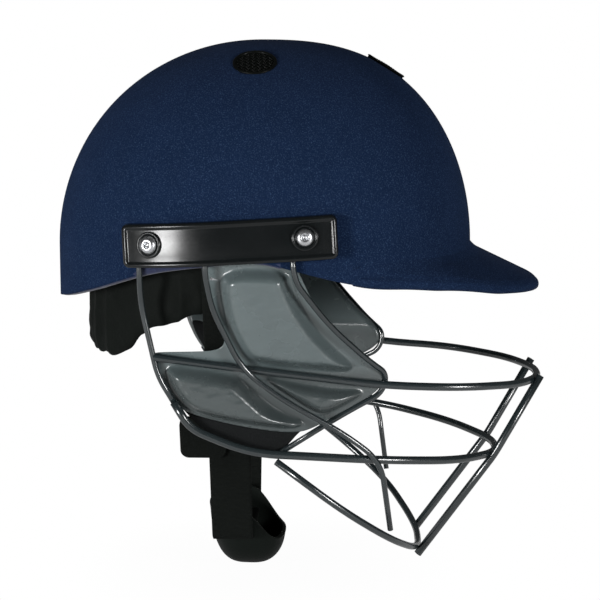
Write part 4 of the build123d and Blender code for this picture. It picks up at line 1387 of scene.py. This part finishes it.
def ribbed_elastic():
    """Dull black elastic with fine threads across it, on the strap's own UV map."""
    finish = Finish("ribbed_elastic", roughness=0.8, specular_ior_level=0.04)
    along = finish.node("SeparateXYZ", output=1, vector=finish.node("TexCoord", output=2))
    fuzz = finish.noise(1200.0)
    finish.colour(fuzz, (0.0022, 0.0028, 0.0024), (0.010, 0.0115, 0.0105))
    return finish.bump((along * (2 * pi / thread_pitch)).sine() * 0.3 + fuzz, 0.2, 0.7)


elastic_finish = ribbed_elastic()
strap = surface("elastic_strap", strap_points(), lengths=(0.05, strap_run[-1] * mm))
dressed(strap, elastic_finish, ["chin_strap"], body="chin_strap")
kept(elastic_finish, "strap_tab")

# %% [markdown]
# ## Chin cup
# The cup is a moulded bowl with a rolled lip. It is a half ellipsoid whose
# meridians run from the lip to the bottom, and its rim dips at the front.

# %% Chin cup
cup_middle = -12.5 * mm
cup_half = np.array((22.8, 33.0)) * mm
cup_lip, cup_floor = -256.5 * mm, -293.8 * mm
cup_dip, dip_from, dip_to = 19.0 * mm, -0.1, 0.9
cup_wall, cup_edge, edge_steps = 2.4 * mm, 0.8 * mm, 3
cup_sides, cup_rows = 120, 44
bowl_fullness, plan_squareness = 0.62, 0.86
roll_height, roll_width = 0.018, 0.07


def cup_points():
    """Outside of the bowl down from the lip: x and y follow the cosine and the depth the sine of a turn.
    The lip dips towards the front, and its first rows stand out a little as a roll."""
    heading = circle(cup_sides)[None, :]
    turn = np.linspace(0.0, pi / 2, cup_rows)[:, None]
    reach = np.cos(turn) ** bowl_fullness * (1 + roll_height * np.exp(-((turn / roll_width) ** 2)))
    x = cup_half[0] * reach * signed_power(np.cos(heading), plan_squareness)
    y = cup_half[1] * reach * signed_power(np.sin(heading), plan_squareness)
    lip = cup_lip - cup_dip * ramp(np.cos(heading), dip_from, dip_to)
    return stacked(x + cup_middle, y, lip + (cup_floor - lip) * np.sin(turn))


def cup_leather():
    """Dull black moulded leather."""
    finish = Finish("cup_leather", specular_ior_level=0.07)
    patch = finish.noise(40.0, 4.0)
    finish.colour(patch, (0.003, 0.0042, 0.0035), (0.0075, 0.010, 0.0085))
    return finish.rough(patch * 0.3 + 0.40).bump(finish.cells(800.0), 0.12, 0.5)


cup = surface("cup_bowl", cup_points())
thickened(cup, cup_wall)
baked(cup, ("BEVEL", {"width": cup_edge, "segments": edge_steps}))
dressed(cup, cup_leather(), ["chin_cup"], body="chin_cup")
